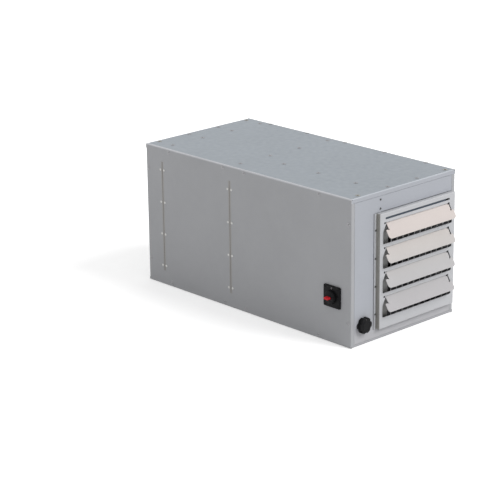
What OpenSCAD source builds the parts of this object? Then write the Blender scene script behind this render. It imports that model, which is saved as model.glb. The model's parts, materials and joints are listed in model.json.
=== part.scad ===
// Ceiling mounted fan heater: a folded steel casing that hangs from its roof, with a fan
// behind a wire guard at the rear, finned electric elements in the front airway and a
// louvred outlet at the front. The switchgear has its own compartment at the front left.
// +X is right as seen from the louvred front, the front faces -Y and +Z is up.
// The origin is the centre of the casing's underside.

/* [Casing] */
// Width of the casing
casing_w = 445; // [430:1:520]
// Length of the casing, front to rear
casing_l = 890; // [860:1:1000]
// Height of the casing
casing_h = 450; // [435:1:520]
// Thickness of the casing sheet
sheet_t = 1.5; // [1.2:0.1:1.8]
// Outer radius of the sheet's bends
bend_r = 3.5; // [3:0.1:5]
// Width of the folded band that frames the front and rear panels
band_w = 14; // [12:0.5:20]
// Height of the folded band along the base
base_band_h = 8; // [6:0.5:12]
// Leg of the corner posts
post_w = 24; // [20:1:26]
// Leg of the long frame rails
rail_w = 20; // [16:1:21]

/* [Partitions] */
// Distance from the left face to the wall between switchgear and airway
divider_x = 125; // [122:1:135]
// Distance from the front to the front bulkhead
bulkhead_y = 506; // [490:1:540]
// Distance from the fan plate to the rear face
fan_rear = 76; // [72:1:90]
// Distance that the partitions' tab slots stay clear of the roof and the base
slot_margin = 46; // [36:1:60]
// Width of the partitions' folded flanges
flange_w = 16; // [15:1:18]

/* [Hanging points] */
// Distance of the roof fixings' rows from the front and rear faces
row_inset = 16; // [14:0.5:20]
// Distance of the first roof fixing of a row from the left face
row_x = 43; // [40:1:60]
// Distance of the last roof fixing of a row from the right face
row_right = 27; // [26:1:40]
// Thread core radius of the M8 hanging inserts
insert_bore_r = 3.4; // [2.5:0.1:4.2]
// Depth of the hanging inserts below the roof
insert_l = 15; // [14:0.5:20]

/* [Louvred outlet] */
// Distance from the left face to the outlet box
box_x = 105; // [103:1:110]
// Distance from the outlet box to the right face
box_right = 13; // [10:1:20]
// Height of the outlet box's lower edge
box_z = 35; // [30:1:45]
// Distance from the outlet box to the roof
box_top = 64; // [50:1:70]
// Depth of the outlet box in front of the casing
box_d = 14; // [13:0.5:20]
// Height of the box's face above the louvre windows
head_h = 29; // [26:1:40]
// Height of the box's face below the louvre windows
sill_h = 34; // [20:1:45]
// Height of the bars between the louvre windows
bar_h = 11; // [10:0.5:18]
// Width of the upright strips beside the louvre windows
stile_w = 13.5; // [12:0.5:16]
// Width of the slope across each upper corner of the louvre windows
window_slope_w = 14; // [10:0.5:15]
// Height of that slope
window_slope_h = 27; // [20:1:30]
// Radius of the louvre windows' lower corners
window_r = 4; // [2:0.5:8]
// Radius of the relief hole in each upper corner of the louvre windows
corner_hole_r = 2.5; // [1.5:0.1:3]
// Blade size from its pivot to its free edge
blade_chord = 48; // [40:1:50]
// Angle at which the blades stand open, from upright
blade_open = 31; // [20:1:35]
// Width of the blade's free edge short of the window on each side
blade_side_gap = 4; // [4:0.5:8]
// Step of the blade's upper part in from its free edge, on each side
blade_step = 11.5; // [10.5:0.5:14]
// Radius of the blades' pivot rods
rod_r = 2; // [1.6:0.1:2.2]

/* [Fan] */
// Radius at the impeller's blade tips
tip_r = 172; // [150:1:176]
// Radius of the impeller's hub
hub_r = 50; // [40:1:60]
// Number of impeller blades
blades = 7; // [5:1:9]
// Radius of the fan motor
motor_r = 46; // [40:1:52]
// Length of the fan motor
motor_l = 52; // [40:1:54]
// Radius of the motor shaft
shaft_r = 5; // [4:0.5:6]

/* [Heating elements] */
// Radius of the elements' tubes
tube_r = 4.25; // [3.5:0.25:5]
// Radius of the elements' fins
fin_r = 14; // [11:0.5:16]
// Distance between neighbouring fins
fin_pitch = 10; // [8:0.5:14]
// Distance between the runs of the elements, one above the other
run_pitch = 65; // [60:1:66]
// Distance between the two rows of elements
row_gap = 84; // [70:1:90]

/* [Controls] */
// Side of the isolator's square front plate
isolator_w = 66; // [60:1:75]
// Distance from the front to the isolator's axis
isolator_y = 72; // [66:1:90]
// Height of the isolator's axis
isolator_z = 144; // [130:1:160]
// Radius of the control knob
knob_r = 25; // [18:0.5:26]
// Depth of the control knob
knob_d = 16; // [14:0.5:24]
// Distance from the left face to the knob's axis
knob_x = 50; // [45:1:66]
// Height of the knob's axis
knob_z = 62; // [50:0.5:68]

/* [Hidden] */
$fn = 48;

// Clearance between neighbouring sheets
gap = 0.3;
// Clearance round the front and rear panels, which leaves a visible seam
panel_seam = 0.8;
// Overrun of every cut
cut = 1;
// Radial clearance of a shaft or pin that turns in its bore
run_fit = 0.06;
// Radial clearance of a screw in its hole
hole_fit = 0.25;

// Faces of the casing
left = -casing_w / 2;
right = casing_w / 2;
front = -casing_l / 2;
back = casing_l / 2;
// Heights just inside the base sheet and the roof sheet
floor_z = sheet_t + gap;
ceil_z = casing_h - sheet_t - gap;
// Faces just inside the side sheets
in_left = left + sheet_t + gap;
in_right = right - sheet_t - gap;
// Distance from the front to the fan plate
fan_plate_y = casing_l - fan_rear;
// Height and depth at which straight edges clear the bends of the outer sheets
bend_clear = bend_r + gap;
// Short return of the side panels along the roof and the base
side_return = bend_r + sheet_t;

// Casing screws: radius of the shank and the head, height of the head, length
screw_r = 1.75;
screw_head_r = 3.2;
screw_head_h = 1.6;
screw_l = 6;
// Rivets along the partitions' seams
rivet_head_r = 3.9;
rivet_head_h = 1.9;
rivet_l = 5;
rivet_lip = 0.3;
rivet_rise = rivet_head_h * 3 / 4;
rivet_dome_r = (pow(rivet_head_r - rivet_lip, 2) + pow(rivet_rise, 2)) / (2 * rivet_rise);
// Places of the side screws: behind the front, before and behind the bulkhead's seam, and
// before the fan plate's seam
side_screw_first = 128;
side_screw_before = 64;
side_screw_after = 29;
side_screw_fan = 32;
side_screw_ys = [side_screw_first, bulkhead_y - side_screw_before, bulkhead_y + side_screw_after,
    fan_plate_y - side_screw_fan];
// Distances of the casing screws from the nearer edges
top_screw_drop = 10;
base_screw_rise = 12;
edge_screw_inset = 10;
edge_screw_rise = 76;
// Right-hand edge screws of the roof
roof_edge_inset = 8.5;
roof_edge_first = 109;
roof_edge_count = 5;
// Seam rivets: offset to each side of the seam, rows, lowest and highest row
pair_offset = 8.5;
pair_rows = 4;
pair_base_z = 63;
pair_top_drop = 73;
// Roof screws into the divider's flange, as shares of the divider's length
divider_screw_shares = [0.213, 0.514, 0.8];
divider_screw_x = 6;
// Screws of a partition's roof flange, in front of the plate
flange_screw_inset = 3.5;
// Front panel screws into the divider's flange, down from the roof
panel_screw_drops = [25, 52];
panel_screw_inset = 4;
divider_flange_w = 31;
// Wall of the hanging inserts, and the width and height of their rims
insert_wall = 2.1;
insert_rim_w = 1.3;
insert_rim_h = 1;
insert_r = insert_bore_r + insert_wall;

// A sheet corner in plan: leg a along x and leg b along y, bent to outer radius r
module angle2d(a, b, t, r) {
    translate([r, 0]) square([a - r, t]);
    translate([0, r]) square([t, b - r]);
    intersection() {
        square([r, r]);
        translate([r, r]) difference() {
            circle(r);
            circle(r - t);
        }
    }
}

// A centred rectangle with round corners
module round_rect(w, h, r) {
    square([w - 2 * r, h], center = true);
    square([w, h - 2 * r], center = true);
    for (x = [-1, 1], y = [-1, 1]) translate([x * (w / 2 - r), y * (h / 2 - r)]) circle(r);
}

// An outline in x and z, made l long towards +Y
module along_y(l) translate([0, l, 0]) rotate([90, 0, 0]) linear_extrude(l) children();

// An outline in y and z, made l long towards +X
module along_x(l) rotate([90, 0, 90]) linear_extrude(l) children();

// Round pins along +X and +Y
module pin_x(r, l) rotate([0, 90, 0]) cylinder(r = r, h = l);
module pin_y(r, l) rotate([-90, 0, 0]) cylinder(r = r, h = l);

// Turns a part that points up so that it points out of each face of the casing
module out_left() rotate([0, -90, 0]) children();
module out_right() rotate([0, 90, 0]) children();
module out_front() rotate([90, 0, 0]) children();
module out_back() rotate([-90, 0, 0]) children();

// A pan-head screw with its seat at the origin and a cross recess in its head
module screw(l = screw_l) {
    difference() {
        cylinder(r = screw_head_r, h = screw_head_h);
        for (a = [0, 90]) rotate(a) translate([0, 0, screw_head_h])
            cube([screw_head_r, screw_head_r / 5, screw_head_h], center = true);
    }
    translate([0, 0, -l]) cylinder(r = screw_r, h = l);
}

// A domed rivet with its seat at the origin
module rivet() {
    rotate_extrude() {
        square([rivet_head_r, rivet_head_h / 4]);
        intersection() {
            translate([0, rivet_head_h - rivet_dome_r]) circle(rivet_dome_r);
            translate([0, rivet_head_h / 4]) square([rivet_head_r, rivet_head_h]);
        }
    }
    translate([0, 0, -rivet_l]) cylinder(r = screw_r, h = rivet_l);
}

// Places of the side screws as [y, z], for a side that also has them along its roof edge
function side_pts(roof_edge) = concat(
    roof_edge ? [for (y = side_screw_ys) [front + y, casing_h - top_screw_drop]] : [],
    [for (y = side_screw_ys) [front + y, base_screw_rise]],
    [for (y = [front + edge_screw_inset, back - edge_screw_inset],
        z = [edge_screw_rise, casing_h - edge_screw_rise]) [y, z]]);

// Places of the seam rivets as [y, z]
pair_pitch = (casing_h - pair_top_drop - pair_base_z) / (pair_rows - 1);
pair_pts = [for (seam = [bulkhead_y, fan_plate_y], side = [-1, 1], i = [0 : pair_rows - 1])
    [front + seam + sheet_t / 2 + side * pair_offset, pair_base_z + i * pair_pitch]];

// Roof screws as [x, y]
row_count = 4;
row_pitch = (casing_w - row_x - row_right) / (row_count - 1);
row_xs = [for (i = [0 : row_count - 1]) left + row_x + i * row_pitch];
roof_edge_pitch = (casing_l - 2 * roof_edge_first) / (roof_edge_count - 1);
roof_pts = concat(
    [for (x = [row_xs[1], row_xs[2]], y = [front + row_inset, back - row_inset]) [x, y]],
    [for (x = row_xs, seam = [bulkhead_y, fan_plate_y]) [x, front + seam - flange_screw_inset]],
    [for (i = [0 : roof_edge_count - 1])
        [right - roof_edge_inset, front + roof_edge_first + i * roof_edge_pitch]],
    [for (share = divider_screw_shares) [left + divider_x + divider_screw_x, front + share * bulkhead_y]]);
// The hanging inserts take the outer places of the front and rear rows
insert_pts = [for (x = [row_xs[0], row_xs[3]], y = [front + row_inset, back - row_inset]) [x, y]];

module screw_holes(l) translate([0, 0, -l]) cylinder(r = screw_r + hole_fit, h = 2 * l);

// Slots for the partitions' tabs, and the holes for every fixing of a side panel
slot_w = sheet_t + 2 * gap;
module side_cuts(roof_edge) {
    for (seam = [bulkhead_y, fan_plate_y])
        translate([-cut, front + seam - gap, slot_margin])
            cube([sheet_t + 2 * cut, slot_w, casing_h - 2 * slot_margin]);
    for (p = concat(side_pts(roof_edge), pair_pts))
        translate([0, p[0], p[1]]) out_left() screw_holes(bend_r);
}

// Side sheet of the left side, drawn with its outer face at x = 0
module side_sheet(roof_edge) {
    difference() {
        union() {
            difference() {
                translate([0, front, 0]) along_y(casing_l) {
                    angle2d(side_return, casing_h / 2, sheet_t, bend_r);
                    translate([0, casing_h]) mirror([0, 1])
                        angle2d(side_return, casing_h / 2, sheet_t, bend_r);
                }
                for (y = [front - cut, back - bend_r])
                    translate([-cut, y, base_band_h + gap])
                        cube([bend_r + 2 * cut, bend_r + cut, casing_h - base_band_h - band_w - 2 * gap]);
            }
            for (m = [0, 1]) mirror([0, m, 0])
                translate([0, front, base_band_h + gap])
                    linear_extrude(casing_h - base_band_h - band_w - 2 * gap)
                        angle2d(band_w, bend_r + cut, sheet_t, bend_r);
        }
        side_cuts(roof_edge);
    }
}
module left_side_panel() color([0.60, 0.60, 0.61]) difference() {
    translate([left, 0, 0]) side_sheet(true);
    isolator_at() translate([-cut, 0, 0]) pin_x(isolator_hole_r, sheet_t + 2 * cut);
}
module right_side_panel() color([0.60, 0.60, 0.61])
    translate([right, 0, 0]) mirror([1, 0, 0]) side_sheet(false);

// A flat sheet between the side panels with a folded band at the front and the rear.
// It is drawn as the base, with its outer face at z = 0.
module band_sheet(band_h) {
    x0 = left + side_return + gap;
    translate([x0, 0, 0]) along_x(-2 * x0) {
        translate([front, 0]) angle2d(casing_l / 2, band_h, sheet_t, bend_r);
        translate([back, 0]) mirror([1, 0]) angle2d(casing_l / 2, band_h, sheet_t, bend_r);
    }
    for (y = [front, back - sheet_t])
        translate([in_left, y, bend_r + gap]) cube([-2 * in_left, sheet_t, band_h - bend_r - gap]);
}
module base_pan() color([0.64, 0.66, 0.68]) band_sheet(base_band_h);

module roof_panel() color([0.64, 0.67, 0.70])
    difference() {
        translate([0, 0, casing_h]) mirror([0, 0, 1]) band_sheet(band_w);
        for (p = roof_pts) translate([p[0], p[1], casing_h]) screw_holes(bend_r);
        for (p = insert_pts)
            translate([p[0], p[1], ceil_z - cut]) cylinder(r = insert_r + hole_fit, h = bend_r + cut);
    }

// Sheet that closes the front or the rear inside the folded band
panel_x0 = left + band_w + panel_seam;
panel_z0 = base_band_h + panel_seam;
module end_sheet(y) translate([panel_x0, y, panel_z0])
    cube([-2 * panel_x0, sheet_t, casing_h - band_w - panel_seam - panel_z0]);

// Airway opening behind the louvres
outlet_inset_left = 49;
outlet_inset_right = 14;
outlet_inset_z = 9;
outlet_x0 = left + box_x + outlet_inset_left;
outlet_x1 = right - box_right - outlet_inset_right;
outlet_z0 = box_z + outlet_inset_z;
outlet_z1 = casing_h - box_top - outlet_inset_z;

// Screws through the outlet box's flange and through the front panel above it, as [x, z]
box_flange_w = 10;
flange_screw_count = 4;
flange_screw_z = 81;
flange_screw_drop = 49;
box_h = casing_h - box_top - box_z;
flange_screw_pitch = (box_h + box_z - flange_screw_drop - flange_screw_z) / (flange_screw_count - 1);
box_pts = [for (i = [0 : flange_screw_count - 1])
    [left + box_x - box_flange_w / 2, flange_screw_z + i * flange_screw_pitch]];
panel_pts = [for (d = panel_screw_drops) [left + divider_x - panel_screw_inset, casing_h - d]];

// Seam of the front panel along the outlet box's flange and its upper edge
outlet_seam = 2;
module outlet_seam_cut(w, h) translate([left + box_x - box_flange_w - outlet_seam, front - cut, 0])
    cube([w, sheet_t + 2 * cut, h]);

module front_panel() color([0.70, 0.72, 0.76])
    difference() {
        end_sheet(front);
        translate([0, 0, box_z]) outlet_seam_cut(outlet_seam, box_h + outlet_seam);
        translate([0, 0, box_z + box_h])
            outlet_seam_cut(outlet_seam + box_flange_w + box_w - box_return, outlet_seam);
        translate([outlet_x0, front - cut, outlet_z0])
            cube([outlet_x1 - outlet_x0, sheet_t + 2 * cut, outlet_z1 - outlet_z0]);
        for (p = concat(box_pts, panel_pts))
            translate([p[0], front, p[1]]) out_front() screw_holes(bend_r);
        translate([left + knob_x, front - cut, knob_z]) pin_y(bush_r + hole_fit, sheet_t + 2 * cut);
        for (p = guard_pts) translate([p[0], front, p[1]]) out_front() screw_holes(bend_r);
    }

// Rear inlet window and its guard
inlet_margin = 62;
inlet_w = casing_w - 2 * inlet_margin;
inlet_z0 = inlet_margin;
inlet_h = casing_h - 2 * inlet_margin;
clamp_count = 3;
clamp_w = 16;
clamp_l = 24;
clamp_t = 1.5;
guard_frame_r = 2.5;
guard_wire_r = 1.2;
clamp_off = 14;
// Clamps round the window as [x, z, turn]
function clamp_at(i, span) = (i - (clamp_count - 1) / 2) * span / clamp_count;
clamp_pts = [for (i = [0 : clamp_count - 1], s = [-1, 1])
    each [[s * (inlet_w / 2 + clamp_off), casing_h / 2 + clamp_at(i, inlet_h), 90 * (s + 1)],
          [clamp_at(i, inlet_w), casing_h / 2 + s * (inlet_h / 2 + clamp_off), 180 - 90 * s]]];
gland_x = 40;
gland_z = 40;
gland_r = 10;
// Rear panel screws into the corner posts, as [x, z]
rear_screw_in = 20;
rear_pts = [for (x = [left + rear_screw_in, right - rear_screw_in],
    z = [edge_screw_rise, casing_h - edge_screw_rise]) [x, z]];

module rear_panel() color([0.66, 0.67, 0.70])
    difference() {
        end_sheet(back - sheet_t);
        translate([-inlet_w / 2, back - sheet_t - cut, inlet_z0])
            cube([inlet_w, sheet_t + 2 * cut, inlet_h]);
        for (p = rear_pts) translate([p[0], back, p[1]]) out_back() screw_holes(bend_r);
        for (p = clamp_pts) translate([p[0], back, p[1]]) out_back() screw_holes(bend_r);
        translate([left + gland_x, back - sheet_t - cut, gland_z])
            pin_y(gland_r + hole_fit, sheet_t + 2 * cut);
    }

// Corner posts: angles behind the bands, from the base to the hanger rails
hanger_h = 14;
hanger_t = 2.5;
hanger_w = 2 * (row_inset - floor_z);
post_top = ceil_z - hanger_h - gap;
module corner_posts() color([0.55, 0.56, 0.58])
    for (mx = [0, 1], my = [0, 1]) mirror([mx, 0, 0]) mirror([0, my, 0])
        difference() {
            translate([in_left, front + floor_z, bend_clear]) linear_extrude(post_top - bend_clear)
                angle2d(post_w, post_w, sheet_t, bend_r);
            for (p = side_pts(true)) translate([in_left, p[0], p[1]]) out_left() screw_holes(bend_r);
            if (my == 1) for (z = [edge_screw_rise, casing_h - edge_screw_rise])
                translate([left + rear_screw_in, front + floor_z, z]) out_front() screw_holes(bend_r);
        }

// Long rails: angles under the roof and on the base along both sides
rail_end = 2 * row_inset;
module rail_bar() translate([in_left, front + rail_end, floor_z]) along_y(casing_l - 2 * rail_end)
    angle2d(rail_w, rail_w, sheet_t, bend_r);
module frame_rails() color([0.55, 0.56, 0.58])
    for (mx = [0, 1]) mirror([mx, 0, 0]) {
        difference() {
            rail_bar();
            for (p = side_pts(true)) translate([in_left, p[0], p[1]]) out_left() screw_holes(bend_r);
        }
        translate([0, 0, casing_h]) mirror([0, 0, 1]) difference() {
            rail_bar();
            for (p = side_pts(true))
                translate([in_left, p[0], casing_h - p[1]]) out_left() screw_holes(bend_r);
            for (p = roof_pts) mirror([mx, 0, 0]) translate([p[0], p[1], floor_z + sheet_t])
                screw_holes(bend_r);
        }
    }

// Hanger rails: channels under the roof that carry the casing's weight
hanger_end = 6;
hanger_bend = 4;
module hanger_rail(y) difference() {
    translate([left + hanger_end, y - hanger_w / 2, ceil_z]) mirror([0, 0, 1])
        along_x(casing_w - 2 * hanger_end) {
            angle2d(hanger_w / 2, hanger_h, hanger_t, hanger_bend);
            translate([hanger_w, 0]) mirror([1, 0]) angle2d(hanger_w / 2, hanger_h, hanger_t, hanger_bend);
        }
    for (p = roof_pts) translate([p[0], p[1], ceil_z]) screw_holes(bend_r);
    for (p = insert_pts)
        translate([p[0], p[1], ceil_z - hanger_t - cut]) cylinder(r = insert_r + hole_fit, h = hanger_h);
}
module hanger_rails() color([0.62, 0.63, 0.65])
    for (y = [front + row_inset, back - row_inset]) hanger_rail(y);

// Hanging inserts: M8 rivet nuts through the roof and the hanger rails
module threaded_inserts() color([0.72, 0.71, 0.66])
    for (p = insert_pts) translate([p[0], p[1], casing_h]) difference() {
        union() {
            translate([0, 0, -insert_l]) cylinder(r = insert_r, h = insert_l);
            cylinder(r = insert_r + insert_rim_w, h = insert_rim_h);
        }
        translate([0, 0, -insert_l - cut]) cylinder(r = insert_bore_r, h = insert_l + insert_rim_h + 2 * cut);
    }

// Heating elements: two rows of three hairpins, whose runs pass through the divider
element_row_y = 200;
element_z = 62.5;
fins_lead = 25;
fins_end = 65;
bend_end = 55;
fins_from = divider_x + fins_lead;
fins_to = casing_w - fins_end;
bend_from = casing_w - bend_end;
fin_t = 1;
ferrule_r = 6.5;
element_collar_r = 9;
element_collar_t = 3;
stud_r = 2;
bead_r = 4;
run_count = 6;
row_ys = [front + element_row_y, front + element_row_y + row_gap];
run_zs = [for (k = [0 : run_count - 1]) element_z + k * run_pitch];

// The wall between the switchgear and the airway, folded towards each at its edges
cutout_y = 150;
cutout_drop = 62;
cutout_r = 12;
module divider_wall() color([0.62, 0.63, 0.64])
    difference() {
        union() {
            translate([left + divider_x, front + floor_z, floor_z])
                cube([sheet_t, bulkhead_y - flange_w - floor_z - gap, ceil_z - floor_z]);
            translate([left + divider_x, front + floor_z, floor_z + sheet_t + gap])
                cube([sheet_t, bulkhead_y - floor_z - gap, ceil_z - floor_z - 2 * (sheet_t + gap)]);
            translate([left + divider_x + sheet_t - divider_flange_w, front + floor_z, floor_z])
                cube([divider_flange_w, sheet_t, ceil_z - floor_z]);
            translate([left + divider_x, front + rail_end, ceil_z - sheet_t])
                cube([flange_w, bulkhead_y - flange_w - rail_end - gap, sheet_t]);
            translate([left + divider_x - flange_w, front + floor_z, floor_z])
                cube([flange_w + sheet_t, bulkhead_y - flange_w - floor_z - gap, sheet_t]);
        }
        translate([left + divider_x - divider_flange_w, front, ceil_z - hanger_h - gap])
            cube([divider_flange_w + flange_w, rail_end, casing_h]);
        translate([left, front, 0]) cube([casing_w, bend_clear, bend_clear]);
        for (p = roof_pts) translate([p[0], p[1], ceil_z]) screw_holes(bend_r);
        for (p = concat(box_pts, panel_pts))
            translate([p[0], front + floor_z, p[1]]) out_front() screw_holes(bend_r);
        for (y = row_ys, z = run_zs)
            translate([left + divider_x - cut, y, z]) pin_x(ferrule_r + hole_fit, sheet_t + 2 * cut);
        translate([left + divider_x - cut, front + cutout_y, casing_h - cutout_drop])
            pin_x(cutout_r / 2, sheet_t + 2 * cut);
    }

// A partition: a plate across the casing with a tab into each side's slot, folded flanges
// and a notch at each corner for the long rails
module partition(y) {
    notch = rail_w + floor_z + gap;
    translate([in_left, y, floor_z]) cube([-2 * in_left, sheet_t, ceil_z - floor_z]);
    translate([left, y, slot_margin + gap])
        cube([casing_w, sheet_t, casing_h - 2 * slot_margin - 2 * gap]);
    for (mx = [0, 1]) mirror([mx, 0, 0]) translate([in_left, y - flange_w, notch])
        cube([sheet_t, 2 * flange_w + sheet_t, casing_h - 2 * notch]);
    for (z = [floor_z, ceil_z - sheet_t])
        translate([left + notch, y - flange_w, z]) cube([casing_w - 2 * notch, flange_w, sheet_t]);
}
module partition_cuts(y) {
    notch = rail_w + floor_z + gap;
    for (mx = [0, 1], z = [0, casing_h - notch]) mirror([mx, 0, 0])
        translate([left, y - flange_w - cut, z])
            cube([notch, 2 * flange_w + sheet_t + 2 * cut, notch]);
    for (p = roof_pts) translate([p[0], p[1], ceil_z]) screw_holes(bend_r);
    for (p = pair_pts, mx = [0, 1]) mirror([mx, 0, 0])
        translate([in_left, p[0], p[1]]) out_left() screw_holes(bend_r);
    translate([left + gland_x, y - cut, gland_z]) pin_y(conduit_r + hole_fit, sheet_t + 2 * cut);
}

bulkhead_margin = 30;
module front_bulkhead() color([0.60, 0.61, 0.62])
    difference() {
        partition(front + bulkhead_y);
        partition_cuts(front + bulkhead_y);
        translate([left + divider_x + flange_w, front + bulkhead_y - cut, bulkhead_margin])
            cube([casing_w - divider_x - flange_w - bulkhead_margin, sheet_t + 2 * cut,
                casing_h - 2 * bulkhead_margin]);
    }

// The fan plate carries a flared ring, which the blade tips run inside
tip_gap = 4;
flare_r = 10;
ring_l = 46;
ring_r = tip_r + tip_gap;
ring_lap = 7;
axis_z = casing_h / 2;
module fan_plate() color([0.58, 0.59, 0.61]) {
    y = front + fan_plate_y;
    difference() {
        partition(y);
        partition_cuts(y);
        translate([0, y - cut, axis_z]) pin_y(ring_r + flare_r, sheet_t + 2 * cut);
        for (a = bracket_turns) translate([0, y, axis_z]) rotate([0, a, 0])
            translate([bracket_bolt_at, 0, 0]) out_back() screw_holes(bend_r);
    }
}
module fan_ring() color([0.60, 0.61, 0.63])
    translate([0, front + fan_plate_y - gap, axis_z]) rotate([-90, 0, 0]) rotate_extrude($fn = 96) {
        translate([ring_r, -ring_l]) square([sheet_t, ring_l - flare_r]);
        translate([ring_r + flare_r, -sheet_t]) square([ring_lap, sheet_t]);
        intersection() {
            translate([ring_r, -flare_r]) square([flare_r, flare_r]);
            translate([ring_r + flare_r, -flare_r]) difference() {
                circle(flare_r);
                circle(flare_r - sheet_t);
            }
        }
    }

// Outlet box: a tray with its face forward, rounded along all four front edges
box_edge_r = 3;
box_w = casing_w - box_x - box_right;
window_w = box_w - 2 * stile_w;
windows = 4;
window_pitch = (box_h - head_h - sill_h + bar_h) / windows;
window_h = window_pitch - bar_h;
slit_w = 279;
slit_h = 6.5;
slit_inset_left = 23;
slit_drop = 16.5;
corner_hole_drop = 1;
function window_top(i) = casing_h - box_top - head_h - (i - 1) * window_pitch;
// A window: sloped across its upper corners, each with a round relief, and round below
module window_shape() {
    w = window_w / 2;
    h = window_h / 2;
    polygon([[window_slope_w - w, h], [w - window_slope_w, h], [w, h - window_slope_h],
        [w, window_r - h], [w - window_r, -h], [window_r - w, -h], [-w, window_r - h],
        [-w, h - window_slope_h]]);
    for (x = [-1, 1]) {
        translate([x * (w - window_r), window_r - h]) circle(window_r);
        translate([x * (w - window_slope_w), h - corner_hole_drop]) circle(corner_hole_r);
    }
}
module box_block(r, inset) translate([left + box_x, front, box_z]) intersection() {
    d = box_d - inset;
    translate([inset, -d, inset]) along_x(box_w - 2 * inset) {
        translate([0, r]) square([d + cut, box_h - 2 * inset - 2 * r]);
        translate([r, 0]) square([d + cut - r, box_h - 2 * inset]);
        for (z = [r, box_h - 2 * inset - r]) translate([r, z]) circle(r);
    }
    translate([inset, -d, inset]) linear_extrude(box_h - 2 * inset) {
        translate([0, r]) square([box_w - 2 * inset, d + cut - r]);
        translate([r, 0]) square([box_w - 2 * inset - 2 * r, d + cut]);
        for (x = [r, box_w - 2 * inset - r]) translate([x, r]) circle(r);
    }
}
box_return = 6;
module louvre_box() color([0.70, 0.72, 0.76])
    difference() {
        union() {
            difference() {
                box_block(box_edge_r, 0);
                box_block(box_edge_r - sheet_t, sheet_t);
                translate([left, front, 0]) cube([casing_w, box_d, casing_h]);
            }
            translate([left + box_x - box_flange_w, front - sheet_t, box_z])
                cube([box_flange_w + sheet_t, sheet_t, box_h]);
            translate([right - box_right - box_return, front - sheet_t, box_z])
                cube([box_return, sheet_t, box_h]);
        }
        translate([left + box_x + box_w / 2, front - box_d - cut, 0]) for (i = [1 : windows])
            translate([0, 0, window_top(i) - window_h / 2]) along_y(sheet_t + 2 * cut)
                window_shape();
        translate([left + box_x + slit_inset_left, front - box_d - cut, casing_h - box_top - slit_drop])
            along_y(sheet_t + 2 * cut) {
                translate([slit_h / 2, -slit_h / 2]) square([slit_w - slit_h, slit_h]);
                for (x = [slit_h / 2, slit_w - slit_h / 2]) translate([x, 0]) circle(slit_h / 2);
            }
        for (p = box_pts) translate([p[0], front, p[1]]) out_front() screw_holes(bend_r);
    }

// The blades' pivots: centre of the box, height and depth of the rods
box_mid = left + box_x + box_w / 2;
knuckle_r = 3.5;
pivot_clear = 0.7;
pivot_drop = knuckle_r + pivot_clear;
pivot_y = front - box_d + sheet_t + knuckle_r;
function pivot_z(i) = window_top(i) - pivot_drop;
grip_fit = 0.02;
rail_web_in = 8.5;
module pivot_rails() color([0.62, 0.63, 0.65])
    for (m = [0, 1]) translate([box_mid, 0, 0]) mirror([m, 0, 0]) difference() {
        inset = box_edge_r + gap;
        x0 = -box_w / 2 + inset;
        y0 = front - box_d + floor_z;
        translate([x0, y0, box_z + inset]) linear_extrude(box_h - 2 * inset)
            translate([rail_web_in - inset, 0]) mirror([1, 0])
                angle2d(rail_web_in - inset, box_d - floor_z - gap, sheet_t, box_edge_r);
        for (i = [1 : windows])
            translate([x0 - cut, pivot_y, pivot_z(i)]) pin_x(rod_r + grip_fit, rail_web_in + 2 * cut);
    }

blade_narrow = window_w / 2 - blade_side_gap - blade_step;
blade_wide = window_w / 2 - blade_side_gap;
knuckle_half = blade_narrow;
stop_l = 3;
rod_over = 1.5;
module louvre_rods() color([0.68, 0.69, 0.70])
    for (i = [1 : windows]) translate([box_mid, pivot_y, pivot_z(i)]) {
        half = box_w / 2 - rail_web_in + rod_over;
        translate([-half, 0, 0]) pin_x(rod_r, 2 * half);
        for (x = [-knuckle_half - gap - stop_l, knuckle_half + gap])
            translate([x, 0, 0]) pin_x(knuckle_r - gap, stop_l);
    }

// A blade: rolled round its rod at the top, notched at its upper corners and with a round
// relief in the corner of each notch
blade_step_at = 20;
blade_corner_r = 11;
blade_top_r = 3;
relief_r = 2.2;
module blade_outline() difference() {
    union() {
        translate([-blade_narrow, -blade_step_at]) square([2 * blade_narrow, blade_step_at]);
        translate([0, -(blade_step_at + blade_chord) / 2])
            intersection() {
                union() {
                    h = blade_chord - blade_step_at;
                    square([2 * blade_wide, h - 2 * blade_corner_r], center = true);
                    translate([0, blade_corner_r / 2 - blade_top_r / 2])
                        square([2 * blade_wide, h - blade_corner_r - blade_top_r], center = true);
                    square([2 * (blade_wide - blade_corner_r), h], center = true);
                    translate([0, blade_corner_r / 2])
                        square([2 * (blade_wide - blade_top_r), h - blade_corner_r], center = true);
                    for (x = [-1, 1]) {
                        translate([x * (blade_wide - blade_corner_r), blade_corner_r - h / 2])
                            circle(blade_corner_r);
                        translate([x * (blade_wide - blade_top_r), h / 2 - blade_top_r])
                            circle(blade_top_r);
                    }
                }
            }
    }
    for (x = [-1, 1]) translate([x * blade_narrow, -blade_step_at]) circle(relief_r);
}
module louvre_blade(i) color([0.84, 0.80, 0.78])
    translate([box_mid, pivot_y, pivot_z(i)]) rotate([-blade_open, 0, 0]) difference() {
        union() {
            translate([0, -knuckle_r, 0]) along_y(sheet_t) blade_outline();
            translate([-knuckle_half, 0, 0]) pin_x(knuckle_r, 2 * knuckle_half);
        }
        translate([-blade_wide, 0, 0]) pin_x(rod_r + run_fit, 2 * blade_wide);
    }
module louvre_blade_1() louvre_blade(1);
module louvre_blade_2() louvre_blade(2);
module louvre_blade_3() louvre_blade(3);
module louvre_blade_4() louvre_blade(4);

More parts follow.
